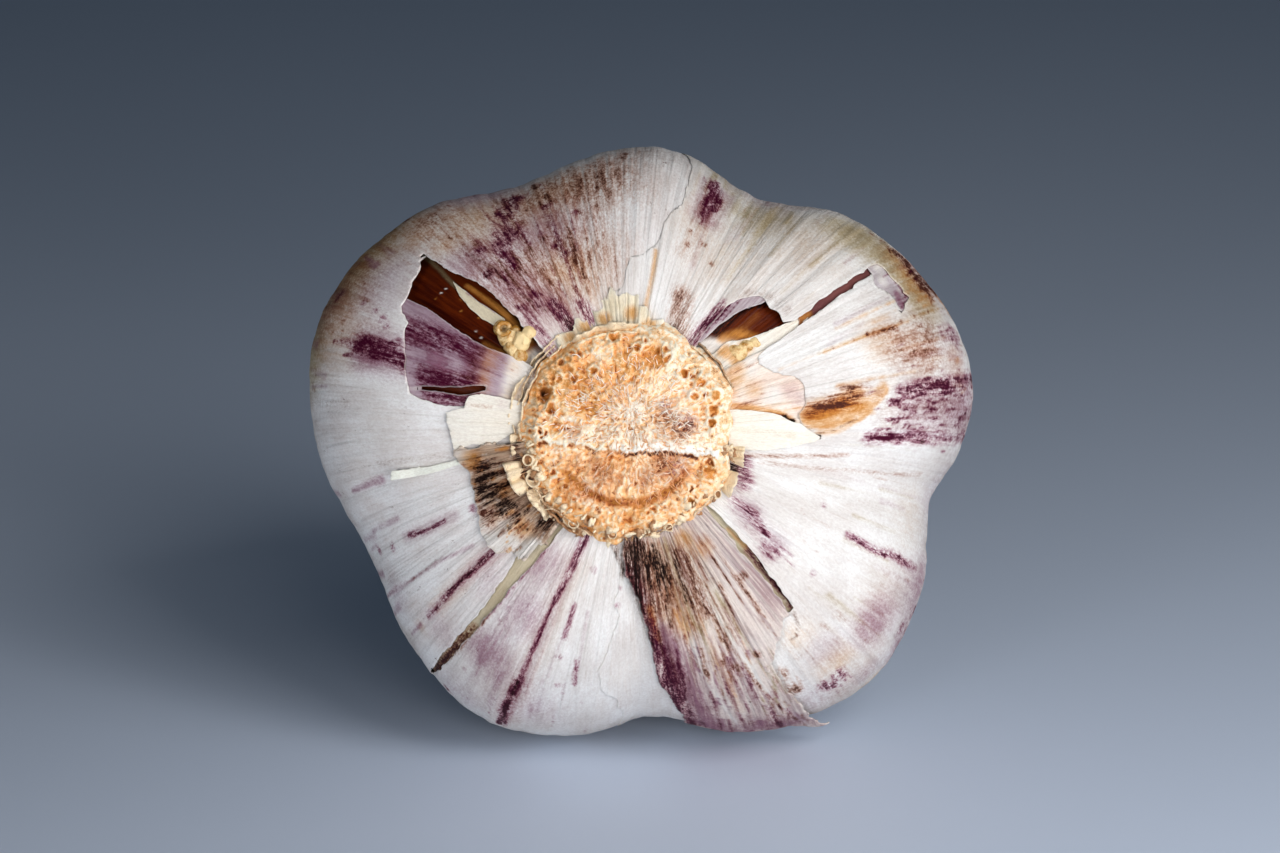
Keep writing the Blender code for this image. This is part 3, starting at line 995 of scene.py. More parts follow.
# The outer skin from the top round the left to the slit at the lower left.
LEFT_WRAPPER = Sheet(
    "outer_skin_left",
    Outline((
        (70, -2), (134, -2), (136, 1), (134.5, 7), (134, 15), (134, 26), (135, 33), (136.5, 40), (137.5, 46),
        (138, 54), (138, 62), (139, 54), (141, 50), (147, 46), (150.5, 45), (153, 40), (158, 38), (165, 35),
        (170, 33), (171, 27), (172, 22), (171, 12), (171, -2), (229, -2), (229, 12), (228.5, 18), (230, 27),
        (230.4, 40), (229.8, 50), (229.5, 60), (229.4, 72), (229.5, 97), (231, 130), (230, 200), (229, 297),
        (71, 297), (68, 160), (70, 80),
    ), seed=3),
    ((68, -0.07), (86, -0.06), (92, 0), (231, 0)), BEIGE, thickness=0.09, seed=5,
    marks=(
        *spots(MAUVE, 0.6, 9, (112, 45), (122, 85)), *spots(MAUVE, 0.45, 9, (148, 60), (156, 80)),
        *spots(AMBER, 0.42, 10, (106, 60), (124, 60), (112, 20), (148, 85), (136, 80), (158, 70)),
        *spots(BROWN, 0.5, 8, (98, 60), (108, 70), (131, 62), (103, 25)),
        *spots(BROWN, 0.32, 8, (150, 85), (136, 85)), *spots(BROWN, 0.35, 5, (118, 30), (90, 75), (160, 55)),
        *spots(PURPLE, 0.4, 4, (121, 46)), *spots(BROWN, 0.3, 6, (99, 45), (95, 62), (88, 50)),
        *spots(DARK, 0.25, 5, (96, 55), (91, 75)), *strands(BROWN, 0.8, 0.5, (90, 12), (132, 75), 26, 301),
        *strands(PURPLE, 0.8, 0.5, (104, 10), (130, 70), 22, 303),
        *strands(MAUVE, 0.8, 0.9, (140, 45), (228, 90), 16, 305),
        line(PURPLE, 0.75, 2.1, (115, 70), (118.5, 60)),
        line(BROWN, 0.35, 1.8, (111, 64), (114, 58), (118, 50)),
        line(PURPLE, 0.75, 2.2, (120, 47), (124, 41), (124, 31), taper=0.4),
        *cluster(PURPLE, 0.7, 0.5, 1.7, 50, 501, (115, 72), (118.5, 60), (121, 47), (124, 31)),
        *cluster(BROWN, 0.8, 0.35, 2.6, 30, 503, (109, 66), (111, 50), (112, 30)),
        *spots(PURPLE, 1, 1.1, (131, 32), (109, 56), (128.5, 42)), *spots(DARK, 0.9, 0.7, (131, 32)),
        *spots(PURPLE, 0.8, 0.9, (124, 19), (111, 35), (107.5, 30), (103, 46)),
        line(DARK, 0.7, 0.28, (131, 42), (129, 33), (128.5, 23), (124, 12)),
        line(DARK, 0.6, 0.28, (117.5, 42), (118, 32), (119.5, 12)),
        line(DARK, 0.5, 0.28, (107.5, 37), (108.5, 19)), line(DARK, 0.4, 0.28, (93.5, 63), (94.5, 43)),
        line(DARK, 0.4, 0.28, (100, 53), (99.5, 40)),
        line(PURPLE, 1, 1.3, (119.5, 13), (118.5, 5), (117.5, -2)),
        line(PURPLE, 0.9, 1.3, (110, 10), (107, 3), (103, -2)), line(DARK, 0.8, 0.8, (118.5, 6), (117.5, -2)),
        line(PURPLE, 0.75, 1, (129.5, 16), (131, 7), (133, -2)), *spots(PALE, 0.5, 2.3, (124, 25)),
        *spots(BROWN, 0.42, 5, (130, 30), (129, 20), (128, 42)),
        *spots(MAUVE, 0.6, 5, (128, 25), (133, 40), (122, 14)),
        *cluster(PURPLE, 0.8, 0.4, 2.6, 34, 561, (129, 42), (128, 25), (122, 8)),
        *cluster(BROWN, 0.8, 0.35, 9, 80, 563, (112, 85), (114, 45), (112, 10)),
        *cluster(BROWN, 0.8, 0.35, 6, 40, 565, (152, 90), (152, 55)),
        *spots(AMBER, 0.3, 2.5, (112, 24), (134, 52), (137, 64)),
        *spots(DARK, 0.3, 6, (99, 95), (88, 85), (80, 75), (110, 105)),
        *spots(OLIVE, 0.9, 9, (148, 80), (162, 90), (138, 100)),
        *spots(BROWN, 0.4, 3.5, (167, 110), (160, 120), (133, 72)),
        line(PURPLE, 0.8, 2, (161, 36), (161.3, 45), (161, 53), (161.7, 68), taper=0.75),
        *cluster(PURPLE, 0.94, 0.55, 1.5, 34, 505, (161, 36), (161.3, 45), (161, 55)),
        line(MAUVE, 0.8, 3.6, (161, 35), (162, 52)),
        *spots(PURPLE, 0.9, 1.1, (135, 86), (163, 36), (153.5, 77)),
        *spots(PURPLE, 0.7, 0.8, (153, 60), (153.5, 53), (155.5, 46), (154.5, 49)),
        *spots(PALE, 0.6, 6, (184, 60), (190, 35), (178, 45)), line(DARK, 0.3, 0.9, (172, 115), (173.5, 58)),
        line(DARK, 0.3, 0.7, (186.2, 50), (187.5, 21)),
        *spots(PURPLE, 0.9, 0.8, (204, 76), (205, 64), (206.5, 22)),
        line(PURPLE, 1.1, 0.5, (204.5, 52), (205.5, 43), (205.5, 34), taper=0.3),
        line(MAUVE, 0.45, 1.3, (204.5, 54), (205.5, 30)),
        line(MAUVE, 0.7, 0.35, (212.5, 99), (213.5, 60), (214, 42), (216, 28)),
        line(BROWN, 0.5, 0.25, (212.5, 90), (213.5, 60), (214, 42)),
        line(PURPLE, 1.2, 0.6, (221.5, 20), (221.5, 32), (221.5, 41), (222, 52), (222, 62), taper=0.6),
        line(DARK, 0.9, 0.35, (221.5, 26), (221.5, 41), (222, 55), taper=0.5),
        line(MAUVE, 0.55, 1.6, (221.5, 18), (221.5, 41), (222, 60), taper=0.5),
        line(AMBER, 0.3, 2.2, (221.5, 15), (222, 55)),
        *cluster(PURPLE, 0.94, 0.3, 0.35, 26, 507, (221.5, 22), (221.5, 41), (222, 55)),
        *spots(AMBER, 0.3, 1.5, (222.5, 69)), *spots(PURPLE, 0.8, 0.8, (222, 97)),
        *spots(MAUVE, 0.35, 4.5, (226, 60), (214, 75), (226, 30)),
    ),
)

# The outer skin along the bottom, from the slit to under the purple leaf.
BOTTOM_WRAPPER = Sheet(
    "outer_skin_bottom",
    Outline((
        (235, -2), (235.5, 8), (234.5, 15), (233, 28), (232.5, 38), (232.2, 44), (231.9, 52), (231.5, 64),
        (230.7, 80), (229.8, 97), (226, 110), (226, 200), (226, 297), (303, 297), (305, 150), (302, 60),
        (303, -2),
    ), seed=9),
    ((226, -0.2), (230, -0.1), (236, 0), (290, 0), (305, -0.2)), WHITE, seed=5,
    marks=(
        line(PURPLE, 1, 0.75, (248.5, 0), (248, 11), (246.7, 22), taper=0.3),
        line(PURPLE, 0.9, 0.4, (246.7, 20), (246.5, 36), (246.2, 57)),
        line(PURPLE, 1.1, 0.85, (246.2, 55), (245.7, 70), (246, 86)),
        line(DARK, 0.9, 0.35, (246, 55), (245.7, 72), (246, 90)),
        line(MAUVE, 0.35, 1.4, (248, 0), (246.3, 90)), line(AMBER, 0.25, 3, (248, 10), (246.3, 90)),
        line(PURPLE, 0.8, 0.5, (253, 22), (253, 34)),
        *spots(PURPLE, 0.7, 0.6, (253, 41), (254.5, 53), (256.5, 10)),
        line(PURPLE, 0.8, 0.5, (257.5, 42), (258, 52)),
        *spots(PURPLE, 0.6, 0.5, (235.5, 32), (235.5, 38), (235, 53), (235, 65)),
        *spots(PURPLE, 0.8, 1.2, (234, 90)), *spots(MAUVE, 0.58, 4.6, (236, 14), (240, 31), (236, 50)),
        *spots(MAUVE, 0.34, 7, (243, 55), (250, 70), (236, 80)),
        *cluster(PURPLE, 0.94, 0.4, 0.5, 26, 509, (246.4, 50), (245.7, 70), (246, 90)),
        *cluster(PURPLE, 0.78, 0.3, 0.3, 22, 511, (248.3, 2), (246.7, 25), (246.4, 50)),
        line(PURPLE, 0.9, 0.3, (235.2, 10), (234.4, 17), (233.2, 28), (232.6, 40)),
        line(BROWN, 0.9, 0.3, (232.8, 38), (232, 50), (231.2, 68)),
        *strands(MAUVE, 0.5, 0.5, (234, 15), (262, 75), 12, 307),
        *strands(PURPLE, 0.6, 0.3, (234, 20), (262, 85), 9, 309),
    ),
)

# The outer skin from under the purple leaf round the right and over the top.
RIGHT_WRAPPER = Sheet(
    "outer_skin_right",
    Outline((
        (-41.5, -2), (-42.2, 6), (-42.6, 10), (-43.3, 15), (-44.6, 22), (-45.5, 30), (-46.8, 38), (-50, 35),
        (-58, 38), (-68, 60), (-68, 150), (-67, 297), (83, 297), (84, 180), (81, 120), (79, 92), (76.5, 70),
        (76.5, 47), (79, 41), (80, 37), (81, 27), (85, 23), (88, 22), (90, 18), (91.5, 12), (95, 10),
        (96.5, 5), (101, 3), (107, 1), (107, -2), (51, -2), (52, 9), (52, 17), (49.5, 21), (45.5, 25),
        (41.5, 23), (38.5, 24), (35.5, 23), (33.6, 26), (34.1, 31), (34.7, 35), (34.4, 39), (34.9, 43),
        (34.7, 47), (35.1, 51), (34.9, 56), (35.1, 62), (34.6, 65.5), (33.2, 65), (31.2, 64.5), (30, 65.5),
        (28.8, 66.5), (27.6, 65), (26.9, 66.5), (26.1, 65), (25.8, 62), (25, 60), (24.3, 57.5), (23.5, 54.5),
        (25, 55.6), (26, 57.5), (27.4, 58.8), (28.8, 58.2), (29.8, 56.8), (30.8, 55.2), (32, 55.2),
        (32.9, 57), (33.7, 58.5), (33.6, 54), (33.5, 50), (33, 46.5), (33, 42), (32.9, 38), (32.5, 35),
        (32.4, 31), (31.9, 27), (31.6, 22.8), (31.2, 14), (30.5, 11), (27.5, 10), (22, 12), (18, 17),
        (15, 19), (9, 18), (6, 16), (3, 17), (0.5, 19), (-0.5, 22), (0, 27), (2, 31), (-1.5, 24), (-3.5, 19),
        (-6, 10), (-8.5, 1), (-9, -2),
    ), tear=0.09, seed=14),
    ((-68, 0), (30, 0), (38, 0.07), (50, 0.12), (72, 0.08), (84, 0), (90, 0.05), (107, 0.08)), WHITE,
    nodes=("outer_wrapper",), spacing=0.28, thickness=0.09, seed=5,
    marks=(
        line(PURPLE, 0.8, 1.7, (71, 68), (70, 60), (70.7, 52), (71, 44), taper=0.6),
        *cluster(PURPLE, 0.94, 0.5, 1.2, 30, 513, (71, 70), (70, 60), (70.7, 50)),
        line(MAUVE, 0.7, 3, (70.5, 66), (70.5, 48)), line(BROWN, 0.35, 2.6, (69, 60), (70.5, 42), (72, 30)),
        *spots(BROWN, 0.8, 0.5, (72.5, 38), (72, 32), (63.5, 30), (68, 36)),
        line(AMBER, 0.6, 0.5, (81, 25), (80.7, 16), (81.5, 5)),
        line(BROWN, 0.8, 2, (68, 13), (65, 6), (62, 0)), *spots(DARK, 1, 0.9, (63, 0), (66, 2)),
        line(PURPLE, 0.6, 0.6, (54, 18), (53.5, 8)), *spots(AMBER, 0.45, 2.2, (102, 1), (92, 3), (82, 1)),
        *spots(OLIVE, 0.35, 6, (60, 62), (72, 90), (40, 85)), line(DARK, 0.22, 0.4, (55.5, 60), (56, 30)),
        line(DARK, 0.22, 0.4, (49, 70), (50, 36)), line(DARK, 0.2, 0.5, (45, 75), (45, 40)),
        *spots(BROWN, 0.8, 2.8, (35, 105), (29.5, 87), (27, 93)),
        *spots(PURPLE, 0.8, 2, (17.5, 80), (24, 98)), line(PURPLE, 0.55, 1.5, (18.5, 72), (17.5, 86)),
        *spots(BROWN, 0.8, 2.4, (34, 84), (31, 80), (27.5, 79)), *spots(AMBER, 0.45, 5, (33, 76), (27, 74)),
        *spots(OLIVE, 0.6, 6, (42, 70), (33, 72), (25, 70)),
        *cluster(BROWN, 0.9, 0.4, 2.6, 70, 585, (37, 82), (30, 78), (25, 78)),
        *cluster(PURPLE, 0.8, 0.35, 1.6, 30, 587, (34, 82), (28, 78)),
        *spots(AMBER, 0.4, 5, (20.5, 45), (16.5, 58), (13, 75)), *spots(MAUVE, 0.38, 6, (14, 75), (5, 80)),
        *cluster(PURPLE, 0.6, 0.3, 6, 70, 581, (12, 45), (14, 95)),
        *cluster(BROWN, 0.7, 0.3, 4, 50, 583, (17, 42), (18, 85)),
        line(AMBER, 0.35, 0.3, (22.4, 14), (22.4, 36), (22.4, 45), (23, 80)),
        line(OLIVE, 0.4, 0.35, (22.4, 25), (22.4, 45), (23, 80)),
        *spots(BROWN, 1.3, 0.3, (22.4, 30), (22.5, 36), (22.6, 41), (22.6, 55), (22.8, 62), (23, 70)),
        *spots(BROWN, 0.46, 4.6, (18, 50), (15.5, 60), (19, 64)),
        *spots(MAUVE, 0.22, 4.6, (17, 50), (15, 58), (18.5, 64)),
        *spots(BROWN, 1.2, 2.4, (31, 96), (27, 88), (36, 102), (22, 97)),
        *spots(AMBER, 0.8, 4, (30, 100), (25, 94)),
        line(PALE, 1.2, 0.8, (-0.4, 20), (0, 26), (3.2, 32), (9.2, 41), (11.6, 45)),
        line(DARK, 0.7, 0.25, (2, 18), (-0.2, 22), (0.4, 26), (2.6, 30), (3.6, 33)),
        line(AMBER, 0.6, 0.5, (-0.4, 22), (0.5, 28), (3.6, 34), (9.4, 42)),
        *spots(AMBER, 0.25, 9, (60, 30), (74, 50), (45, 50)),
        *spots(OLIVE, 0.25, 9, (52, 55), (64, 75), (40, 70)),
        *strands(MAUVE, 0.4, 0.8, (-45, 20), (70, 80), 20, 311),
        *strands(OLIVE, 0.5, 0.9, (36, 25), (80, 90), 26, 312),
        *strands(BROWN, 0.5, 0.3, (30, 30), (78, 85), 22, 313),
        *strands(AMBER, 0.5, 0.4, (8, 20), (30, 75), 12, 315),
        *strands(OLIVE, 0.5, 0.6, (-45, 20), (0, 70), 10, 317),
        *spots(MAUVE, 0.35, 9, (60, 85), (30, 90), (-30, 75), (-10, 90), (-55, 80)),
        line(BROWN, 0.75, 0.5, (22.3, 42), (22, 52)), line(DARK, 0.35, 1.2, (50, 23), (44, 26), (38, 26)),
        line(PURPLE, 0.9, 1.1, (55, -2), (54, 6), (52.5, 14)),
        line(PURPLE, 0.72, 1.3, (9, 47), (9.4, 55), (9.8, 66), (10.6, 110)),
        line(PURPLE, 0.7, 1.2, (-1.2, 38), (-0.4, 46), (-0.4, 60), (1.4, 114)),
        line(MAUVE, 0.52, 4.2, (4.5, 52), (5.5, 110)), line(BROWN, 0.32, 4, (4.5, 43), (5.5, 100)),
        *cluster(PURPLE, 0.9, 0.35, 1, 90, 515, (8.6, 42), (9.2, 55), (9.4, 66), (10, 100)),
        *cluster(PURPLE, 0.8, 0.3, 1, 80, 517, (-1.2, 36), (0, 50), (0.5, 70), (2, 100)),
        *cluster(PURPLE, 0.88, 0.26, 2.4, 260, 519, (4.5, 38), (5.5, 100)),
        *cluster(DARK, 0.78, 0.3, 0.5, 26, 521, (8.8, 48), (9.6, 80), (10, 100)),
        *spots(DARK, 1, 0.45, (-1, 59)), line(AMBER, 0.9, 1.9, (6, 19), (7, 25), (9, 32)),
        line(AMBER, 0.62, 1, (3.2, 19), (2, 25), (4, 30), (7.6, 36), (10.6, 41)),
        line(BROWN, 0.75, 1.3, (6.4, 19), (7.8, 26), (8.8, 31.5)),
        *cluster(AMBER, 0.6, 0.6, 1.8, 40, 523, (5, 19), (6, 25), (8, 34)),
        *cluster(BROWN, 0.65, 0.4, 1.2, 36, 525, (7.5, 19), (8.5, 25), (9.8, 31)),
        *cluster(BROWN, 0.7, 0.3, 0.5, 18, 527, (10.5, 18), (11.5, 27), (12.5, 36)),
        *spots(DARK, 0.95, 1.6, (-13.5, 0), (-18, 0)), *spots(PURPLE, 0.9, 1.6, (-22.5, 5), (-15, 3)),
        line(BROWN, 0.6, 0.4, (-11, 2), (-8, 18), (-5.5, 34)),
        line(BROWN, 0.5, 0.4, (-12.5, 8), (-9.5, 35), (-7, 68)),
        *spots(PURPLE, 0.5, 1.6, (-33, 5), (-33.5, 10), (-36.5, 15), (-39.5, 20)),
        *cluster(PURPLE, 0.86, 0.4, 1.3, 26, 531, (-32.5, 3), (-34, 11), (-39.5, 20)),
        *spots(MAUVE, 0.5, 3, (-34, 10), (-38, 20)), *spots(PURPLE, 0.6, 0.6, (-37, 34), (-20, 30)),
        line(PURPLE, 0.6, 0.9, (-24.5, 40), (-25, 49), (-24, 59), (-24, 75)),
        *cluster(PURPLE, 0.86, 0.35, 0.4, 26, 533, (-24.5, 40), (-25, 49), (-24, 59), (-24, 72)),
        *spots(PURPLE, 0.5, 1.9, (-29.5, 95), (-34.5, 82)),
        *cluster(PURPLE, 0.78, 0.4, 1.5, 24, 535, (-29.5, 93), (-34.5, 82)),
        *spots(MAUVE, 0.6, 5, (-37, 63), (-36.5, 92), (-26, 85)),
        *spots(AMBER, 0.35, 4, (-50, 45), (-47.5, 62), (-43.5, 95)),
        *spots(AMBER, 0.22, 8, (-32, 60), (-45, 75), (-15, 70), (-52, 90)),
        line(DARK, 0.9, 0.3, (-46.8, 37), (-48.2, 42), (-50, 45), (-51, 45)),
        *spots(MAUVE, 0.4, 4, (-47, 55), (-44, 80)), *spots(BROWN, 0.6, 1.6, (-57.5, 55), (-56.5, 66)),
        *spots(BROWN, 0.6, 0.75, (-52, 52)), *spots(PURPLE, 0.7, 1.5, (-51.5, 71), (-48, 68)),
        *cluster(PURPLE, 0.95, 0.45, 1.6, 24, 571, (-51.5, 70), (-48, 68)),
        *cluster(BROWN, 0.9, 0.4, 1.2, 20, 573, (-57.5, 54), (-56.5, 66)),
        *cluster(BROWN, 0.5, 0.3, 7, 60, 575, (-50, 40), (-42, 95)),
        *cluster(PURPLE, 0.8, 0.35, 4, 50, 577, (-20, 90), (-40, 95)),
        *cluster(BROWN, 0.5, 0.25, 12, 50, 579, (-25, 15), (-25, 80)),
    ),
)

# The stained leaf that runs from the plate down to the table.
PURPLE_LEAF = Sheet(
    "purple_leaf",
    Outline((
        (268, -2), (268, 6), (271.5, 15), (275, 26), (276.5, 36), (277, 47), (278, 59), (280.5, 67),
        (282, 79), (282.5, 97), (289, 100), (299, 102), (306.5, 100), (304, 90), (303, 70), (302, 60),
        (302.5, 49), (305, 44), (308, 41), (310.5, 37), (312.4, 37), (312.7, 30), (313, 22), (313.4, 15),
        (314.6, 7), (316.5, -2),
    ), seed=21),
    ((266, 0.42), (320, 0.42)), STAINED, nodes=("leaf_lower_right",), slot="stained_leaf", spacing=0.28,
    pleats=0.11, bumps=(Bump((306, 99), 3.5, 0.7),), seed=31,
    marks=(
        line(DARK, 0.8, 2.2, (269.5, 0), (276.5, 5), (284, 8)), line(BROWN, 0.8, 3.4, (272, 2), (279, 22)),
        line(AMBER, 0.5, 3, (282, 6), (286, 30)),
        line(DARK, 0.8, 1.2, (272, 5), (274.5, 22), (277, 40), taper=0.5),
        line(PURPLE, 1, 2.1, (270.5, 10), (276, 32), (278.5, 54), (282, 80)),
        line(AMBER, 0.8, 0.8, (277.5, 24), (278.8, 36)), *spots(AMBER, 0.6, 1.8, (303, 8), (298, 3)),
        line(OLIVE, 0.45, 2.4, (289, 4), (290, 30)), line(OLIVE, 0.35, 2.4, (299, 4), (298, 34)),
        line(BROWN, 0.8, 1.2, (293, 6), (293, 26)), line(MAUVE, 0.7, 2.6, (281, 34), (284, 50), (287, 90)),
        line(PALE, 0.5, 1, (287.5, 36), (291, 66)), line(AMBER, 0.3, 1.2, (292, 36), (293, 70)),
        line(PALE, 1.2, 0.35, (287, 30), (288.5, 50), (293, 95)),
        line(PALE, 1.4, 0.35, (296.5, 28), (299, 60), (303.5, 98)),
        line(PALE, 1, 0.3, (281, 10), (283, 35), (286, 60)),
        line(BROWN, 0.8, 0.3, (296, 30), (298.4, 60), (302.8, 96)),
        *cluster(MAUVE, 0.9, 0.5, 8, 90, 591, (286, 35), (292, 95)),
        *cluster(PURPLE, 0.7, 0.3, 8, 110, 593, (284, 30), (294, 95)),
        *cluster(PALE, 1, 0.3, 9, 90, 595, (288, 15), (295, 90)),
        *cluster(BROWN, 0.8, 0.3, 9, 80, 597, (286, 2), (298, 50)),
        *spots(BROWN, 1, 0.8, (309, 20), (301, 44)), *spots(PALE, 0.5, 3, (306, 25)),
        *spots(MAUVE, 0.6, 4.5, (296, 85), (290, 95), (301, 90), (285, 85)),
        *spots(PALE, 0.6, 3, (300, 20), (303, 40), (308, 15), (298, 50)),
        *cluster(DARK, 0.78, 0.35, 2.5, 40, 541, (272, 0), (275, 10), (282, 18)),
        *cluster(BROWN, 0.78, 0.4, 3, 50, 543, (290, 10), (296, 50), (299, 85)),
        *cluster(PURPLE, 0.86, 0.45, 1.6, 60, 545, (275, 25), (280, 55), (284, 95)),
        *strands(DARK, 1, 0.45, (268, 0), (292, 22), 26, 321),
        *strands(BROWN, 1, 0.5, (270, 0), (312, 50), 26, 323),
        *strands(PALE, 1, 0.35, (282, 2), (313, 40), 24, 325),
        *strands(PURPLE, 0.9, 0.5, (275, 25), (302, 95), 26, 327),
        *strands(AMBER, 0.6, 0.35, (284, 5), (302, 50), 12, 329),
        *strands(OLIVE, 0.8, 0.4, (284, 0), (304, 90), 18, 331),
        *strands(PALE, 0.8, 0.35, (283, 30), (302, 95), 16, 333),
        line(PURPLE, 0.7, 1.6, (279.5, 40), (281.5, 66), (283.5, 95)),
    ),
)

# The thin white leaf to the left of the purple one.
PALE_LEAF = Sheet(
    "pale_leaf",
    Outline((
        (257.5, -2), (267.5, 9), (267, 15), (265.5, 23), (267.5, 25), (266, 32), (263, 47), (264.5, 58),
        (268, 65), (269, 82), (268, 100), (271, 130), (277, 155), (288, 150), (296, 120), (298, 60),
        (297, -2),
    ), seed=27),
    ((256, 0.07), (270, 0.08), (300, 0.06)), WHITE, nodes=("leaf_bottom",), spacing=0.28, thickness=0.09,
    seed=5,
    marks=(
        line(DARK, 0.8, 1.2, (262, 0), (267.5, 10)),
        line(DARK, 0.5, 0.8, (269.5, 2), (273, 18), (276.5, 36), taper=0.3),
        *spots(PURPLE, 0.8, 0.5, (266.8, 16), (266.8, 22)), *spots(PALE, 0.8, 5, (270, 50), (273, 80)),
    ),
)

# The square white flap left of the plate.
CREAM_FLAP = Sheet(
    "cream_flap",
    Outline((
        (163, -2), (164.5, 3), (165, 7), (166, 12), (168, 15), (171.5, 16), (173.5, 21), (181.5, 20),
        (185.5, 20), (184.5, 14), (184.5, 7), (181.5, 2), (181, -2),
    ), tear=0.1, seed=41),
    ((160, 0.28), (190, 0.32)), CREAM, nodes=("flap_left",), spacing=0.2, pleats=0.08, seed=43,
    marks=(line(BROWN, 0.6, 0.35, (170, 15), (169.5, 8)), *spots(MAUVE, 0.3, 1.2, (167, 5))),
)

# The thin greenish strip that sticks out over the left side.
GREENISH_STRIP = Sheet(
    "greenish_strip",
    Outline((
        (188.2, 42), (190.3, 44), (191.2, 31), (190.7, 19), (191.5, 10), (188, 10), (189, 20), (189.2, 30),
    ), tear=0.06, seed=47),
    ((186, 0.4), (194, 0.4)), GREENISH, nodes=("strip_left",), spacing=0.2, thickness=0.18, pleats=0.05,
    bumps=(Bump((189, 44), 3, 0.6),), seed=49,
)

# The dark dried scab at the lower left of the plate.
SCAB = Sheet(
    "scab",
    Outline((
        (186, -2), (185, 11), (186, 20), (191, 19), (194.5, 18), (200, 18), (208.5, 20), (215, 23), (220, 22),
        (225, 18), (229.5, 16), (231, 14), (232.5, 8), (232.5, -2),
    ), tear=0.25, seed=53),
    ((184, 0.45), (200, 0.6), (233, 0.5)), CRUSTED, nodes=("scab_left",), slot="stained_leaf", spacing=0.18,
    thickness=0.3, pleats=0.35, seed=57,
    marks=(
        *spots(AMBER, 0.7, 2, (190, 15), (205, 8), (222, 10)),
        *spots(PALE, 1, 2.2, (217, 19), (224, 14), (188, 18), (219, 12), (210, 20)),
        *spots(DARK, 0.9, 2.2, (203, 15), (212, 10), (195, 12), (228, 4)),
        *spots(BROWN, 0.7, 2.2, (199, 5), (212, 18)),
        # A painted shadow: a dark line along the scab's foot, where it meets the plate's rim.
        line(DARK, 0.9, 0.9, (187, 1), (200, 0), (215, 0), (231, 0)),
        *cluster(DARK, 0.9, 0.45, 6, 40, 611, (200, 14), (210, 8)),
        *strands(DARK, 0.9, 0.45, (188, 0), (228, 16), 60, 361, (0.5, 3)),
        *strands(BROWN, 1, 0.5, (187, 0), (230, 19), 60, 367, (0.5, 3)),
        *strands(PALE, 1.3, 0.4, (187, 0), (231, 21), 60, 363, (0.5, 3)),
        *spots(PALE, 1.4, 1.3, (214, 22.5), (218, 21.5), (222, 20), (226, 17), (229, 15), (231, 11)),
        *strands(AMBER, 1, 0.5, (187, 0), (231, 18), 26, 365, (0.5, 3)),
    ),
)

# The purple inner skin that shows in the window on the left.
INNER_PURPLE = Sheet(
    "inner_purple_skin",
    Outline((
        (145, -2), (146, 8), (148, 13), (148.5, 18), (148.5, 24), (148, 31), (148, 39), (148, 50), (158, 55),
        (175, 42), (178, 20), (178, -2),
    ), tear=0.08, seed=61),
    ((144, -0.22), (180, -0.18)), LILAC, nodes=("inner_wrapper",), slot="inner_skin", spacing=0.22,
    thickness=0.1, seed=5,
    holes=(Outline((
        (168.6, 36), (167, 29), (166.2, 23), (164.4, 17), (161.5, 10.5), (163.6, 10.5), (166, 14),
        (167.4, 18), (167.5, 23), (168, 28),
    ), tear=0.04, seed=65),),
    marks=(
        line(PURPLE, 0.75, 2.6, (154.5, 38), (153, 27), (152, 18), taper=0.2),
        line(PURPLE, 0.75, 2, (164.5, 29), (163.3, 22), (162.5, 15)),
        line(PURPLE, 0.75, 2, (169.5, 26), (169, 16)), line(MAUVE, 0.9, 1.8, (152, 17), (161, 16), (167, 14)),
        line(BROWN, 0.6, 1.2, (150, 16.5), (160, 15.5), (168, 14.5)),
        line(AMBER, 0.55, 2, (148, 13.5), (158, 12.5), (170, 12)),
        *strands(BROWN, 0.8, 0.3, (148, 5), (170, 20), 14, 601, (4, 10)),
        line(PALE, 1.3, 1.6, (147, 6), (153, 5), (161, 4), (170, 3)),
        line(PALE, 1.5, 2.2, (147, 2), (160, 0), (172, 0)),
        *spots(AMBER, 0.35, 1.8, (150, 6), (160, 3), (168, 5)),
        *cluster(PURPLE, 0.6, 0.4, 2.2, 40, 551, (154.5, 38), (153, 27), (152, 17)),
        *cluster(PURPLE, 0.6, 0.4, 1.8, 30, 553, (164.5, 30), (163, 20), (162.5, 14)),
        *cluster(PURPLE, 0.6, 0.4, 1.2, 20, 555, (169.5, 28), (169, 15)),
        *cluster(MAUVE, 0.9, 0.5, 4, 40, 557, (150, 42), (156, 30), (160, 20)),
        line(PURPLE, 0.5, 0.35, (156, 17), (156, 8)),
    ),
)

# The tan and pink inner skin right of the plate.
INNER_TAN = Sheet(
    "inner_tan_skin",
    Outline((
        (33, -2), (32, 9), (31, 14), (24, 22), (12, 28), (2, 25), (-4, 16), (-6, 5), (-6, -2),
    ), tear=0.08, seed=71),
    ((-7, -0.14), (34, -0.14)), PINKISH, slot="inner_skin", spacing=0.22, thickness=0.1, seed=5,
    marks=(
        *spots(AMBER, 0.5, 1.4, (9, 3), (6, 10), (28, 0), (21, 0)),
        *spots(MAUVE, 0.32, 2, (15, 15), (11, 17)),
        line(AMBER, 0.8, 0.7, (13.5, 0), (9, 7), (6, 12), (4.4, 14)),
        *spots(AMBER, 0.5, 1.8, (26, 3), (31, 5), (19, 6)),
        *strands(BROWN, 0.7, 0.3, (12, 0), (31, 10), 12, 357, (3, 9)),
        *spots(PALE, 1.2, 2, (29, 7), (14, 10), (22, 4), (11, 20)), line(BROWN, 0.8, 0.8, (7, 3), (5, 12)),
        *spots(DARK, 1.5, 0.6, (5.2, 12.5), (3.6, 14.5)),
        *strands(AMBER, 0.6, 0.5, (-4, 0), (14, 16), 10, 351, (5, 12)),
    ),
)

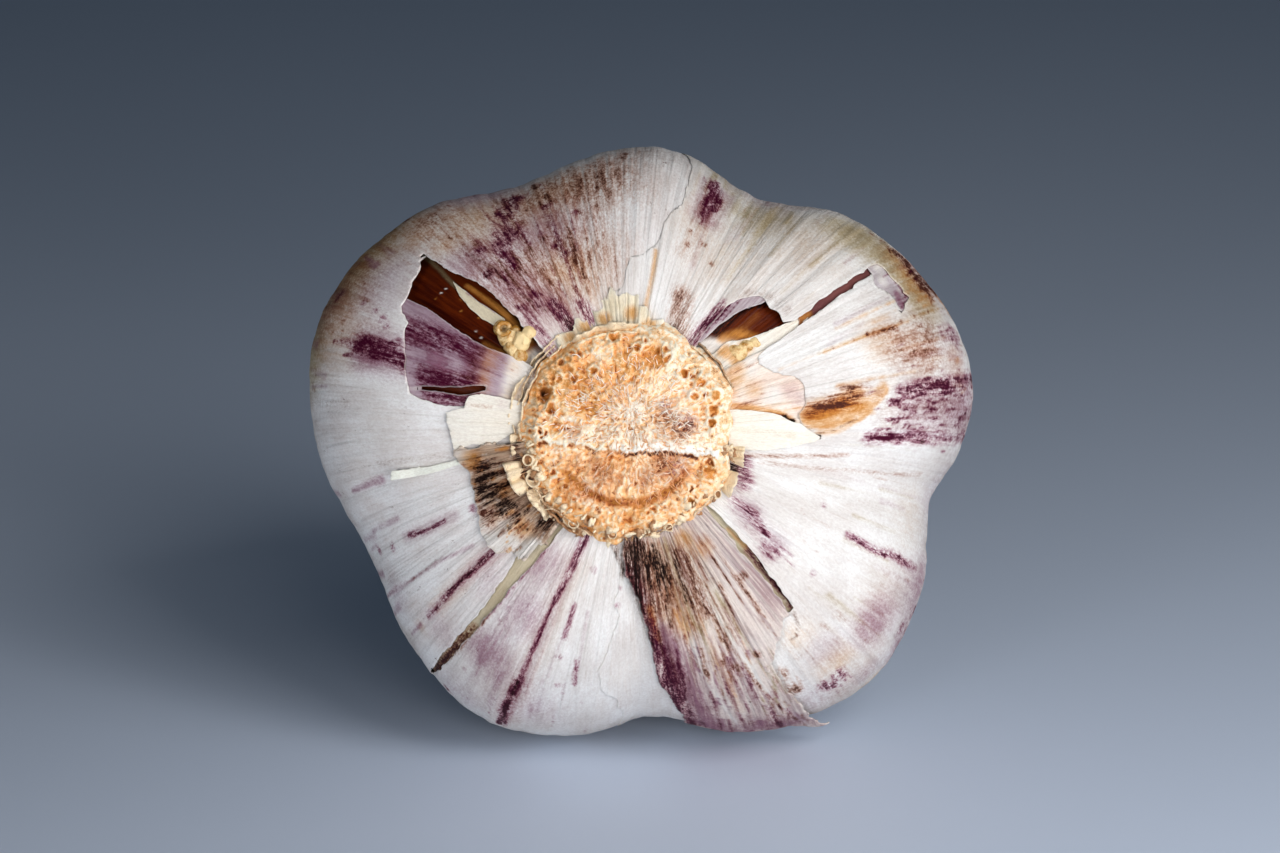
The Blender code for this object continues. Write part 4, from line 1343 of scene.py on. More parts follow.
# The cream leaf base right of the plate.
CREAM_BAND = Sheet(
    "cream_leaf_base",
    Outline((
        (13, -2), (10, 4), (6.5, 11), (4, 14), (3, 17), (0.5, 20), (-1.2, 23), (-2.5, 22), (-4.5, 17),
        (-7.5, 9), (-9.5, -2),
    ), tear=0.05, seed=77),
    ((-10, 0.05), (14, 0.12)), CREAM, nodes=("leaf_top",), spacing=0.2, pleats=0.05, seed=79,
    marks=(line(OLIVE, 0.3, 0.8, (1, 0), (-1, 15)),),
)

# The ragged cream tissue that spreads from the plate over the skins above it.
TOP_FRINGE = Sheet(
    "top_fringe",
    Outline((
        (66, -3), (70, 0), (73, 3), (77, 2), (81, 5), (84, 4.5), (86, 8.5), (90, 10), (93, 8.5), (95, 11.5),
        (98, 8.5), (100, 9.5), (103, 5), (107, 6.5), (110, 3), (115, 4.5), (119, 1.5), (126, 3), (131, -3),
    ), tear=0.22, seed=111),
    ((66, 0.18), (95, 0.26), (131, 0.18)), YELLOW_CREAM, slot="root_plate", spacing=0.18, thickness=0.22,
    pleats=0.22, seed=113,
    marks=(
        *spots(AMBER, 0.8, 1.2, (78, 0), (88, 3), (101, 2), (112, 1), (121, 0)),
        *spots(OLIVE, 0.35, 1.6, (84, 4), (96, 6), (106, 3)),
    ),
)


def clove_window(
    name: str, span: Place, end: float, node: str, finish: SkinFinish, marks: tuple[Mark, ...] = (),
    depth: float = 1.1,
) -> Sheet:
    """A clove's own skin where a tear shows it.

    Args:
        name: The piece's name.
        span: The angles where it starts and ends.
        end: Its reach, in hundredths.
        node: The clove that it stands for.
        finish: What it is dressed in.
        marks: Its stains.
        depth: How far it lies under the outer face.

    Returns:
        The sheet.
    """
    low, high = span
    outline = Outline(((low, -2), (high, -2), (high, end), (low, end)), tear=0.02, seed=int(low))
    lifts = ((low, -0.4 - depth), (low + 3, -depth), (high - 3, -depth), (high, -0.4 - depth))
    return Sheet(
        name, outline, lifts, finish, nodes=(node,),
        slot="clove_skin", spacing=0.25, pleats=0.08, marks=marks, seed=int(high),
    )


# The brown clove in the window on the left.
CLOVE_LEFT = clove_window(
    "clove_left_skin", (120, 182), 75, "clove_skin_left", BROWN_CLOVE,
    marks=(
        line(PALE, 1.6, 1.8, (149, 2), (142, 3)), line(AMBER, 1.3, 1.9, (148.5, 7), (143, 9), (139, 9)),
        line(AMBER, 0.7, 0.7, (147.5, 10), (147.5, 17)),
        line(AMBER, 1.1, 0.8, (135.2, 10), (135.2, 22), (136.6, 36), taper=0.4),
        line(OLIVE, 1, 0.5, (137.6, 60), (137.9, 48), (138.6, 38)),
        *spots(PALE, 1.3, 0.25, (142.2, 40), (140.6, 40), (145.5, 22), (146.5, 19)),
        *spots(AMBER, 0.9, 0.3, (143, 30), (140.6, 33), (144, 40), (141.5, 24)),
    ),
)

# The brown clove in the opening at the upper right.
CLOVE_RIGHT = clove_window(
    "clove_top_skin", (24, 62), 80, "clove_skin_top", BROWN_CLOVE, depth=0.8,
    marks=(
        line(PALE, 1.8, 1.6, (37, 8), (42, 6), (47, 2)), line(AMBER, 1, 1.1, (36.5, 14), (41, 12), (45, 8)),
        line(AMBER, 0.5, 0.8, (42.5, 12), (42.5, 20)),
        line(DARK, 1.2, 0.9, (48.5, 8), (48.5, 16), (46, 22.5), (43, 26)),
    ),
)

# The clove under the slit at the lower left.
CLOVE_LOWER_LEFT = clove_window(
    "clove_lower_left_skin", (222, 242), 110, "clove_skin_lower_left", MEMBRANE, depth=0.35,
    marks=(
        line(BROWN, 1.1, 1, (231.4, 48), (230.8, 56), (229.9, 100)),
        line(PURPLE, 0.6, 0.6, (230.6, 55), (229.9, 100)),
    ),
)

# The clove under the slit at the lower right.
CLOVE_LOWER_RIGHT = clove_window(
    "clove_lower_right_skin", (300, 328), 60, "clove_skin_lower_right", MEMBRANE, depth=0.35,
    marks=(
        line(PURPLE, 1, 0.8, (316, 16), (315, 25), (314, 36)), line(DARK, 0.6, 0.5, (315.5, 20), (314, 36)),
        line(AMBER, 0.6, 0.5, (316.5, 8), (316, 15)),
    ),
)

# The clove behind the right side.
CLOVE_FAR_RIGHT = clove_window("clove_right_skin", (-14, 26), 50, "clove_skin_right", PINKISH)

# The pale sliver of clove in the window on the left.
WINDOW_SPINDLE = Sheet(
    "pale_sliver",
    Outline((
        (138.3, 40), (137.8, 34), (137.8, 28), (137.2, 23), (136.5, 18), (138.5, 17), (140.5, 18),
        (141.2, 23), (141, 28), (140, 34),
    ), tear=0.04, seed=83),
    ((135, -0.85), (142, -0.95)), SLIVER, slot="clove_flesh", spacing=0.16, pleats=0.03, seed=85,
    marks=(line(MAUVE, 0.9, 0.3, (138, 33), (136.9, 22)),),
)

# The thin grey layer that shows where the crack at the upper right ends.
GREY_PATCH = Sheet(
    "thin_grey_patch",
    Outline(((33.4, 58.5), (37, 60), (37, 70), (22, 72), (21, 50), (30, 48), (33, 54)), tear=0.05, seed=87),
    ((20, -0.13), (30, -0.13), (38, -0.07)), THIN_GREY, slot="inner_skin", spacing=0.25, thickness=0.08,
    seed=5,
    marks=(
        *strands(PALE, 1, 0.5, (24, 52), (36, 66), 14, 353, (5, 15)),
        *strands(PURPLE, 0.8, 0.25, (25, 55), (35, 66), 8, 355, (3, 10)),
        *spots(PALE, 1, 1.4, (33.5, 63), (31.5, 60)),
        line(PURPLE, 0.8, 0.3, (30, 65.5), (27, 65), (26, 62), (25, 59), (23.8, 55)),
        line(MAUVE, 0.8, 0.9, (28, 62), (26, 60)),
    ),
)

# The maroon skin that shows along the crack at the upper right.
MAROON_SLIVER = Sheet(
    "maroon_sliver",
    Outline(((36, 27), (36, 61), (33.4, 61), (31, 54), (31, 24), (33.6, 27)), tear=0.03, seed=91),
    ((31, -0.35), (36, -0.3)), MAROON, slot="inner_skin", spacing=0.25, thickness=0.08, pleats=0.08, seed=93,
    marks=(line(AMBER, 0.8, 1, (33.5, 22), (33.5, 30)),),
)

# The thin grey lip that stands along the opening at the upper right.
LAVENDER_LIP = Sheet(
    "lavender_lip",
    Outline((
        (54, 2), (53.5, 15), (52, 21), (47.5, 26), (43.5, 25.5), (43.8, 23.5), (46, 20), (48, 15), (49.4, 10),
        (50.4, 2),
    ), tear=0.05, seed=101),
    ((43, -0.05), (54, -0.03)), THIN_GREY, slot="inner_skin", spacing=0.18, thickness=0.08, seed=5,
    marks=(
        *strands(PURPLE, 0.8, 0.3, (50, 0), (53, 12), 6, 341),
        *strands(DARK, 0.5, 0.2, (45, 5), (52, 22), 6, 343),
    ),
)

# The cream foot of the clove in the opening at the upper right.
CREAM_CLOVE = Sheet(
    "cream_clove_foot",
    Outline((
        (44, -2), (42, 7), (38, 13), (36.4, 17), (34.5, 24), (33, 30), (29.5, 25), (29.5, -2),
    ), tear=0.08, seed=95),
    ((29, -0.3), (34, -0.32), (44, -0.6)), CREAM, slot="clove_flesh", spacing=0.2, pleats=0.08, seed=97,
    marks=(*spots(AMBER, 0.9, 1.3, (34, 6), (36, 10), (40, 5)),),
)


def neck_layer(
    name: str, depth: float, turn: float, low: float, finish: SkinFinish, seed: int, *nodes: str
) -> Sheet:
    """A dry leaf base rolled once round the inside of the neck, with a ragged cut end.

    Args:
        name: The piece's name.
        depth: How far inside the neck's face it starts.
        turn: The angle where its free edge lies.
        low: The reach where it starts, in hundredths.
        finish: What it is dressed in.
        seed: Picks its tear.
        nodes: The nodes that it stands for.

    Returns:
        The sheet.
    """
    last = turn + 395.0
    outline = Outline(((turn, low), (turn, 295), (last, 296.5), (last - 12, low)), tear=0.55, seed=seed)
    marks = (
        *strands(BROWN, 0.9, 0.9, (turn, 220), (last, 297), 60, seed + 1),
        *strands(MAUVE, 0.8, 1.2, (turn, 220), (last, 297), 40, seed + 2),
    )
    return Sheet(
        name, outline, ((turn, -depth), (last, -depth - 0.7)), finish, nodes=nodes, slot="inner_skin",
        spacing=0.7, back_spacing=0.8, thickness=0.16, pleats=0.12, marks=marks, seed=seed + 3,
    )


# The first leaf base under the wrappers in the neck.
NECK_OUTER = neck_layer("neck_leaf_base_outer", 0.75, 40, 220, BEIGE, 401, "neck_sheath")

# The second leaf base in the neck.
NECK_MIDDLE = neck_layer("neck_leaf_base_middle", 1.75, 170, 250, CREAM, 411)

# The leaf base that hugs the stalk.
NECK_INNER = neck_layer("neck_leaf_base_inner", 2.7, 290, 260, PINKISH, 421)


SHEETS = (
    LEFT_WRAPPER, BOTTOM_WRAPPER, RIGHT_WRAPPER, PURPLE_LEAF, PALE_LEAF, CREAM_FLAP, GREENISH_STRIP, SCAB,
    INNER_PURPLE, INNER_TAN, CREAM_BAND, TOP_FRINGE, CLOVE_LEFT, CLOVE_RIGHT, CLOVE_LOWER_LEFT,
    CLOVE_LOWER_RIGHT, CLOVE_FAR_RIGHT, WINDOW_SPINDLE, GREY_PATCH, MAROON_SLIVER, LAVENDER_LIP, CREAM_CLOVE,
    NECK_OUTER, NECK_MIDDLE, NECK_INNER,
)


@functools.lru_cache
def straight_tube(sides: int, rings: int) -> bpy.types.Mesh:
    """A closed tube of radius 1 and length 1 that the bent ones start from."""
    shape = bmesh.new()
    bmesh.ops.create_cone(shape, cap_ends=True, segments=sides, radius1=1.0, radius2=1.0, depth=1.0)
    bmesh.ops.subdivide_edges(shape, edges=long_edges(shape), cuts=rings - 2)
    return mesh_of(shape, "straight_tube")


def long_edges(shape: bmesh.types.BMesh) -> list[bmesh.types.BMEdge]:
    """The edges that run along a cone or a tube of length 1."""
    return [edge for edge in shape.edges if abs(edge.verts[0].co.z - edge.verts[1].co.z) > 0.5]


class Pile:
    """Small shapes of one kind that are gathered into one piece, each vertex with a tone."""

    ASIDE = (0.31, 0.22, 0.92)

    def __init__(self) -> None:
        """Starts with nothing."""
        self.shape = bmesh.new()
        self.tones: list[float] = []

    def fresh(self) -> list[bmesh.types.BMVert]:
        """The vertices that have no tone yet: those of the shape that was added last."""
        self.shape.verts.ensure_lookup_table()
        return self.shape.verts[len(self.tones):]

    def places(self) -> np.ndarray:
        """Where the fresh vertices are, one row each."""
        return np.array([vertex.co for vertex in self.fresh()])

    def move(self, points: np.ndarray | list[Vector], tone: float | np.ndarray) -> None:
        """Puts the fresh vertices in place, and gives them their tone."""
        fresh = self.fresh()
        for vertex, point in zip(fresh, points):
            vertex.co = point
        self.tones += list(np.broadcast_to(tone, len(fresh)))

    def tube(self, line: np.ndarray, radii: np.ndarray, sides: int, tone: float) -> None:
        """Adds a closed tube along a line.

        Args:
            line: Points along its middle, three or more.
            radii: Its radius at each point.
            sides: How many sides it has.
            tone: Its tone.
        """
        self.shape.from_mesh(straight_tube(sides, len(line)))
        ahead = np.gradient(line, axis=0)
        ahead /= np.linalg.norm(ahead, axis=1, keepdims=True)
        aside = np.cross(ahead, self.ASIDE)
        aside /= np.linalg.norm(aside, axis=1, keepdims=True)
        up = np.cross(aside, ahead)
        x, y, z = self.places().T
        index = np.rint((z + 0.5) * (len(line) - 1)).astype(int)
        out = aside[index] * x[:, None] + up[index] * y[:, None]
        self.move(line[index] + radii[index, None] * out, tone)

    def finish(
        self, name: str, material: bpy.types.Material, *nodes: str, slot: str = "root_plate",
        closed: bool = True,
    ) -> bpy.types.Object:
        """Makes one piece of them, in place and dressed.

        Args:
            name: The piece's name.
            material: What it is dressed in.
            nodes: The nodes that it takes the place of.
            slot: The material slot that it stands for.
            closed: Whether its shapes are closed, so that their faces can be turned outwards.

        Returns:
            The piece.
        """
        if closed:
            bmesh.ops.recalc_face_normals(self.shape, faces=self.shape.faces)
        for face in self.shape.faces:
            face.smooth = True
        mesh = mesh_of(self.shape, name)
        store(mesh, "tone", np.array(self.tones))
        return settle(mesh, material, slot, *nodes)


@dataclass(frozen=True)
class Spot:
    """A round patch of colour on the plate.

    Attributes:
        pigment: What it is made of.
        strength: How dense it is.
        at: Its middle, across and up from the plate's middle, in millimetres.
        radius: Where it has faded, in millimetres.
    """

    pigment: Pigment
    strength: float
    at: Place
    radius: float


@dataclass(frozen=True)
class Pit:
    """A hole left in the plate by a root, with a raised rim."""

    at: Place
    radius: float
    depth: float = 0.36
    rim: float = 0.26

    def height(self, x: np.ndarray, y: np.ndarray) -> np.ndarray:
        """How far the plate rises at each point."""
        gap = np.hypot(x - self.at[0], y - self.at[1]) / self.radius
        return self.rim * np.exp(-((gap - 1.15) * 3.5) ** 2) - self.depth * (1 - smoothstep(gap, 0.35, 1.0))


@dataclass(frozen=True)
class PlateFinish:
    """Dry spongy root plate, coloured by its relief: cream on its ridges, partly as painted highlight, and
    brown in its hollows, partly as painted shade.
    """

    name: str = "plate_fibre"
    ridge: Colour = (1.0, 0.91, 0.73)
    slope: Colour = (0.96, 0.62, 0.33)
    hollow: Colour = (0.34, 0.11, 0.03)
    torn: Colour = (1.0, 0.96, 0.88)

    def material(self) -> bpy.types.Material:
        """Lays the finish's nodes."""
        shader = Shader(self.name)
        place = shader.object_place()
        fine = shader.noise(place, 2.4, 5.0, 0.7)
        broad = shader.noise(place, 0.55, 3.0)
        grit = shader.noise(place, 7.0, 4.0, 0.7)
        height = shader.number("height") + (fine - 0.5) * 1.3 + (broad - 0.5) * 0.9 + (grit - 0.5) * 1.1
        # Colour follows the height: the brown in the hollows is partly painted shade, and the cream on the
        # ridges is partly painted highlight.
        colour = shader.mix(height.step(-0.14, 0.30), self.hollow, self.slope)
        colour = shader.mix(height.step(0.36, 0.70), colour, self.ridge)
        rough = fine.step(0.3, 0.7) * 0.9 + grit.step(0.3, 0.7) * 0.5
        for pigment in Pigment:
            amount = shader.number(pigment.value)
            if pigment is PALE:
                colour = shader.mix((amount * height.step(0.2, 0.55)).step(0.1, 0.9), colour, self.torn)
            else:
                # Stains grow denser where the height is low, which adds painted shade in the hollows.
                colour = pigment.stain(shader, amount * (rough + 0.3 - height * 0.3), colour, (0.5, 1.2))
        normal = shader.bump(grit, 0.05, shader.bump(fine, 0.13))
        return shader.finish(Base_Color=colour, Roughness=0.72, Normal=normal, Specular_IOR_Level=0.3)


@dataclass(frozen=True)
class RootPlate:
    """The cut root plate in the middle of the bulb's lower end.

    Attributes:
        profile: Its outline from the middle of its face to its back, as (radius, distance behind the face).
        facets: How many faces its surface has across.
        pits: The larger holes that its roots left.
        spots: Its patches of colour.
        fibres: How many broken fibres lie on it.
        seed: Picks what is scattered over it.
    """

    profile: tuple[Place, ...] = (
        (0, -0.5), (3.5, -0.4), (6.2, 0), (6.9, 0.2), (7.6, 0.15), (8.2, 0.4), (8.8, 0.9), (9.3, 1.6),
        (9.45, 2.4), (9.2, 3.2),
    )
    facets: int = 220
    fibres: int = 1500
    seed: int = 4
    pits: tuple[Pit, ...] = (
        Pit((-7.3, 3.3), 0.95, 1, 0.2), Pit((4.9, 4.95), 0.42), Pit((6.3, 4.2), 0.48), Pit((5.8, 3), 0.4),
        Pit((7.7, 3.1), 0.45), Pit((7.5, 1.8), 0.5), Pit((7.4, 0.7), 0.4), Pit((-1.1, 8.3), 0.5, 0.4),
        Pit((2.45, 6.4), 1.15, 0.45, 0.1), Pit((-6.6, 1.9), 0.5), Pit((7.2, -3.6), 0.6, 0.3),
        Pit((5.6, -6.2), 0.4), Pit((-2.9, 5.2), 0.35, 0.3), Pit((-4.6, 4.6), 0.4, 0.3),
        Pit((0.9, 7.2), 0.35, 0.35),
    )
    spots: tuple[Spot, ...] = (
        Spot(AMBER, 1, (-4.9, 4.3), 4.6), Spot(AMBER, 1, (-3.4, 2.6), 4.2), Spot(AMBER, 1, (0.3, 5.6), 4.6),
        Spot(AMBER, 0.9, (-6, 0.4), 2.2), Spot(AMBER, 0.5, (5.5, 3), 4), Spot(BROWN, 0.6, (-4.6, -0.4), 1.7),
        Spot(AMBER, 0.6, (-1.2, -2.8), 2.4), Spot(AMBER, 0.9, (-4.8, -4.2), 2),
        Spot(AMBER, 0.8, (7, -3.6), 1.6), Spot(AMBER, 0.6, (1, -7), 3), Spot(BROWN, 0.8, (3.5, 0.8), 2.6),
        Spot(BROWN, 0.8, (4.6, -0.4), 1.7), Spot(BROWN, 0.8, (3.2, -2.9), 2.6),
        Spot(BROWN, 0.7, (-2, -3.6), 2.8), Spot(BROWN, 0.6, (-4.6, -5.2), 2.4),
        Spot(BROWN, 0.5, (-4.5, 4), 2), Spot(BROWN, 0.5, (2.3, 6.3), 1.3), Spot(DARK, 0.3, (4.2, 0.2), 2.6),
        Spot(PALE, 0.65, (0.2, 1.6), 2.6), Spot(PALE, 0.5, (5.2, 3.4), 2.2), Spot(MAUVE, 0.85, (5.1, 0.7), 2),
        Spot(MAUVE, 0.7, (3.2, 2.1), 1.5), Spot(MAUVE, 0.8, (4.2, -3.1), 2.4),
        Spot(MAUVE, 0.6, (1.6, -4.2), 1.8), Spot(MAUVE, 0.5, (-3.4, -5.6), 1.6),
        Spot(BROWN, 0.9, (5.6, 0.4), 1.3), Spot(PALE, 0.5, (-5, 0.9), 1.2), Spot(PALE, 0.5, (1.5, -1), 1.6),
        Spot(PALE, 0.4, (-6, -1.8), 1.6), Spot(DARK, 0.8, (-7.3, 3.3), 0.8),
    )

    UPPER_EDGE = (
        (-9.5, -0.2), (-7.4, -1.0), (-5.2, -1.1), (-3.5, -1.3), (-2.3, -1.9), (-0.6, -1.7), (0.9, -1.9),
        (2.0, -1.8), (3.6, -1.6), (5.7, -2.0), (7.5, -2.3), (9.5, -2.5),
    )
    UPPER_RISE = 0.32
    FAN_CENTRE = (0.3, 1.0)
    GROOVE_RADIUS = 6.25
    GROOVE_BELOW = (2.6, 4.4)
    RIM_RADIUS = 8.2
    CAVITY_MM = 0.28
    SMALL_PITS = 38
    FIBRE_TAPER = (1.0, 1.0, 0.9, 0.7, 0.3)

    def torn_layer(self, x: np.ndarray, y: np.ndarray) -> np.ndarray:
        """The distance above the torn edge of the upper layer, in millimetres; under 0 below it."""
        knots = np.array(self.UPPER_EDGE)
        flat = np.stack([x, x * 0.0, x * 0.0], axis=1)
        jag = 0.20 * noise(flat * 1.5, 31, 3) + 0.09 * noise(flat * 5.0, 37)
        return y - np.interp(x, knots[:, 0], knots[:, 1]) - jag

    def relief(self, x: np.ndarray, y: np.ndarray) -> np.ndarray:
        """How far the plate's face rises above its plain profile."""
        across, up = x - self.FAN_CENTRE[0], y - self.FAN_CENTRE[1]
        fan = ring(np.arctan2(up, across), 14, np.hypot(across, up) * 0.8)
        flat = np.stack([x, y, np.zeros_like(x)], axis=1)
        swirl = np.stack([noise(flat * 1.6, 44, 2), noise(flat * 1.6, 46, 2), flat[:, 2]], axis=1)
        warped = flat + 0.35 * swirl
        rise = 0.13 - 0.26 * np.abs(noise(fan, 41, 2)) + 0.18 * noise(flat * 0.9, 43, 2)
        rise += 0.11 - 0.24 * np.abs(noise(warped * 2.6, 47, 2))
        rise += 0.06 - 0.15 * np.abs(noise(warped * 5.6, 49))
        above = self.torn_layer(x, y)
        rise += self.UPPER_RISE * smoothstep(above, -0.06, 0.06) * (1 - 0.6 * smoothstep(above, 0.5, 3.5))
        rise += 0.10 * hump(above, 0.12, 0.14)
        middle = np.hypot(x, y)
        rise -= 0.5 * smoothstep(-y, *self.GROOVE_BELOW) * hump(middle, self.GROOVE_RADIUS, 0.42)
        rise -= 0.25 * np.exp(-(((x + 5.9) / 1.5) ** 2) - (((y - 0.35) / 0.5) ** 2))
        rise += 0.16 * smoothstep(middle, 6.6, 7.4) * noise(flat * 1.9, 53, 2)
        bend = 0.16 * noise(flat * 2.4, 57, 2), 0.16 * noise(flat * 2.4, 58, 2)
        for pit in self.all_pits():
            rise += pit.height(x + bend[0], y + bend[1])
        return rise

    def cavity(self, points: np.ndarray) -> np.ndarray:
        """How far each point of the face stands above what is around it; under 0 in a hollow."""
        x, y = points[:, 0], points[:, 1]
        around = [
            self.relief(x + self.CAVITY_MM * math.cos(turn), y + self.CAVITY_MM * math.sin(turn))
            for turn in np.radians((0, 60, 120, 180, 240, 300))
        ]
        return self.relief(x, y) - np.mean(around, axis=0)

    def all_pits(self) -> list[Pit]:
        """The larger pits and the many small ones round the rim."""
        chance = np.random.default_rng(self.seed)
        small = []
        for _ in range(self.SMALL_PITS):
            turn, radius = chance.uniform(0, 2 * np.pi), chance.uniform(6.9, 8.35)
            size = chance.uniform(0.18, 0.36)
            small.append(Pit((radius * math.cos(turn), radius * math.sin(turn)), size, size * 0.85, 0.18))
        return [*self.pits, *small]

    def surface(self, x: np.ndarray, y: np.ndarray) -> tuple[np.ndarray, np.ndarray]:
        """Points of the plate's surface.

        Args:
            x: Where they lie across a disc of radius 1.
            y: Where they lie up it.

        Returns:
            The points in the bulb's frame, and how far each rises above the plain profile.
        """
        knots = np.array(self.profile)
        lengths = np.linalg.norm(np.diff(knots, axis=0), axis=1)
        along = np.concatenate([[0.0], np.cumsum(lengths)])
        share = np.minimum(np.hypot(x, y), 1.0) * along[-1]
        radius, back = np.interp(share, along, knots[:, 0]), np.interp(share, along, knots[:, 1])
        turn = np.arctan2(y, x)
        flat_x, flat_y = radius * np.cos(turn), radius * np.sin(turn)
        rise = self.relief(flat_x, flat_y)
        lobes = noise(ring(turn, 5, turn * 0.0), 61, 2)
        radius = radius + 0.5 * lobes * smoothstep(radius, 6.5, 9.0)
        side = smoothstep(radius, 8.2, 9.2)
        wall = 0.26 * noise(ring(turn, 6, back * 2.0), 59, 3) + 0.10
        points = ring(turn, 1.0, -back + rise * (1 - side))
        points[:, :2] *= (radius + wall * side)[:, None]
        return points, np.where(side > 0.5, wall, rise)

    def face(self) -> None:
        """The plate itself."""
        shape = bmesh.new()
        bmesh.ops.create_grid(shape, x_segments=self.facets, y_segments=self.facets, size=1.0)
        rim = [edge for edge in shape.edges if edge.is_boundary]
        behind = bmesh.ops.extrude_edge_only(shape, edges=rim)["geom"]
        back = [item for item in behind if isinstance(item, bmesh.types.BMVert)]
        for vertex in back:
            vertex.co.z = -1.0
        hem = [item for item in behind if isinstance(item, bmesh.types.BMEdge)]
        bmesh.ops.contextual_create(shape, geom=hem)
        for face in shape.faces:
            face.smooth = True
        bmesh.ops.recalc_face_normals(shape, faces=shape.faces)
        mesh = mesh_of(shape, "root_plate_face")
        u, v, depth = coordinates(mesh).T
        points, rise = self.surface(u * np.sqrt(1 - v * v / 2), v * np.sqrt(1 - u * u / 2))
        points[depth < -0.5] *= (0.9, 0.9, 1.0)
        mesh.vertices.foreach_set("co", points.ravel())
        # The height holds the relief and how far each point stands above its neighbours; the finish uses it
        # to paint hollows darker as shade and ridges paler as highlight.
        store(mesh, "height", np.clip(0.45 + rise * 0.35 + self.cavity(points) * 1.7, -0.3, 1.2))
        self.paint(mesh, points)
        settle(mesh, PlateFinish().material(), "root_plate", "root_plate")

    def paint(self, mesh: bpy.types.Mesh, points: np.ndarray) -> None:
        """Stores the plate's patches of colour on its mesh."""
        x, y = points[:, 0], points[:, 1]
        above = self.torn_layer(x, y)
        middle = np.hypot(x, y)
        on_face = middle < self.RIM_RADIUS
        # Along the torn edge of the upper layer, strongest on the right: a pale lip that is partly painted
        # highlight, and under it a brown painted shadow.
        right = smoothstep(x, -2.0, 1.0) * on_face
        lip = (0.25 + 2.4 * right) * hump(above, 0.30, 0.28) * on_face
        shade = (0.3 + 1.3 * right * (x < 6.2)) * hump(above, -0.20, 0.15) * on_face
        groove = smoothstep(-y, *self.GROOVE_BELOW) * hump(middle, self.GROOVE_RADIUS, 0.36)
        rim = smoothstep(middle, 7.0, 8.3) * smoothstep(-x, -4.0, 3.0)
        lines = {PALE: lip, BROWN: shade + 0.9 * groove, AMBER: 0.7 * groove + 0.6 * rim}
        for pigment in Pigment:
            density = lines.get(pigment, np.zeros(len(points)))
            for spot in self.spots:
                if spot.pigment is pigment:
                    gap = np.hypot(x - spot.at[0], y - spot.at[1]) / spot.radius
                    density = 1 - (1 - density) * (1 - spot.strength * (1 - smoothstep(gap, 0.0, 1.0)))
            if pigment is AMBER:
                for pit in self.pits:
                    gap = np.hypot(x - pit.at[0], y - pit.at[1]) / pit.radius
                    density = 1 - (1 - density) * smoothstep(gap, 0.7, 1.3)
                density = 1 - (1 - density) * (1 - 0.45 * smoothstep(-above, 0.0, 0.5))
            store(mesh, pigment.value, density)

    def broken_fibres(self) -> None:
        """The broken fibres that lie on the plate, as one piece."""
        chance = np.random.default_rng(self.seed + 1)
        pile = Pile()
        knots = np.array(self.profile)
        share = np.linspace(0.0, 1.0, 5)
        for _ in range(self.fibres):
            start = chance.normal(0.0, 3.6, 2) + (0.2, -0.2)
            if np.hypot(*start) > 7.9 or abs(self.torn_layer(start[:1], start[1:])[0]) < 0.4:
                continue
            outwards = math.atan2(start[1] - self.FAN_CENTRE[1], start[0] - self.FAN_CENTRE[0])
            heading = outwards + chance.normal(0.0, 0.6) + (math.pi if chance.random() < 0.4 else 0.0)
            turned = heading + chance.normal(0.0, 0.9) * share
            length = chance.uniform(0.3, 1.2)
            x = start[0] + np.cumsum(np.cos(turned)) * length / 5
            y = start[1] + np.cumsum(np.sin(turned)) * length / 5
            if np.hypot(x, y).max() > self.RIM_RADIUS:
                continue
            back = np.interp(np.hypot(x, y), knots[:, 0], knots[:, 1])
            lift = 0.02 + chance.uniform(0.0, 0.22) * np.sin(np.pi * share * chance.uniform(0.4, 1.0))
            z = -back + self.relief(x, y) + lift
            radii = np.array(self.FIBRE_TAPER) * chance.uniform(0.022, 0.052)
            pile.tube(np.stack([x, y, z], axis=1), radii, 4, chance.random() + 0.6 * float(y[0] < -1.8))
        pile.finish("plate_fibres", FibreFinish().material())


@dataclass(frozen=True)
class Band:
    """A torn leaf base that stands like a cup round part of the plate.

    Attributes:
        start: The angle where it starts.
        end: The angle where it ends.
        radius: How far its foot is from the axis.
        top: How far behind the plate's face its torn edge is; under 0 in front of it.
        flare: How much further out its edge is than its foot.
        tone: Its shade, from 0 pale to 1 brown.
        tear: How ragged its edge is, in millimetres.
    """

    start: float
    end: float
    radius: float
    top: float
    flare: float = 0.3
    tone: float = 0.5
    tear: float = 0.35

    FOOT = 3.4
    ROWS = 14

    def place(self, across: np.ndarray, along: np.ndarray, seed: int) -> np.ndarray:
        """Points of the band.

        Args:
            across: Shares of its width, from its start.
            along: Shares of its height, from its foot.
            seed: Picks its tear and its waves.

        Returns:
            Points in the bulb's frame, one row each.
        """
        angle = np.radians(self.start + (self.end - self.start) * across)
        around = ring(angle, 9, np.zeros_like(angle))
        fade = np.sin(np.pi * np.clip(across, 0.0, 1.0)) ** 0.4
        top = self.top + self.tear * (noise(around * 0.8, seed, 3) + 0.6 * noise(around * 3.1, seed + 4, 2))
        top = top + (1 - fade) * (self.FOOT - self.top) * 0.6
        back = self.FOOT + (top - self.FOOT) * along
        wave = 0.14 * noise(around * 1.3 + (0, 0, 7.7), seed + 2, 2)
        wave += 0.1 * noise(ring(angle, 9, back * 2.0), seed + 3)
        radius = self.radius + self.flare * along**2 + wave * (0.4 + along)
        return np.stack([radius * np.cos(angle), radius * np.sin(angle), -back], axis=1)


@dataclass(frozen=True)
class BandFinish:
    """Dry layered leaf bases, from pale to grey brown."""

    name: str = "leaf_base"
    pale: Colour = (1.0, 0.83, 0.58)
    brown: Colour = (0.40, 0.20, 0.09)

    def material(self) -> bpy.types.Material:
        """Lays the finish's nodes."""
        shader = Shader(self.name)
        place = shader.object_place()
        streak = shader.noise(shader.scaled(place, (1.0, 3.0, 1.0)), 1.6, 5.0, 0.7)
        share = shader.number("tone") + (streak - 0.5) * 2.6
        colour = shader.mix(share.step(0.0, 1.0), self.pale, self.brown)
        normal = shader.bump(streak, 0.2)
        return shader.finish(Base_Color=colour, Roughness=0.6, Normal=normal, Specular_IOR_Level=0.35)


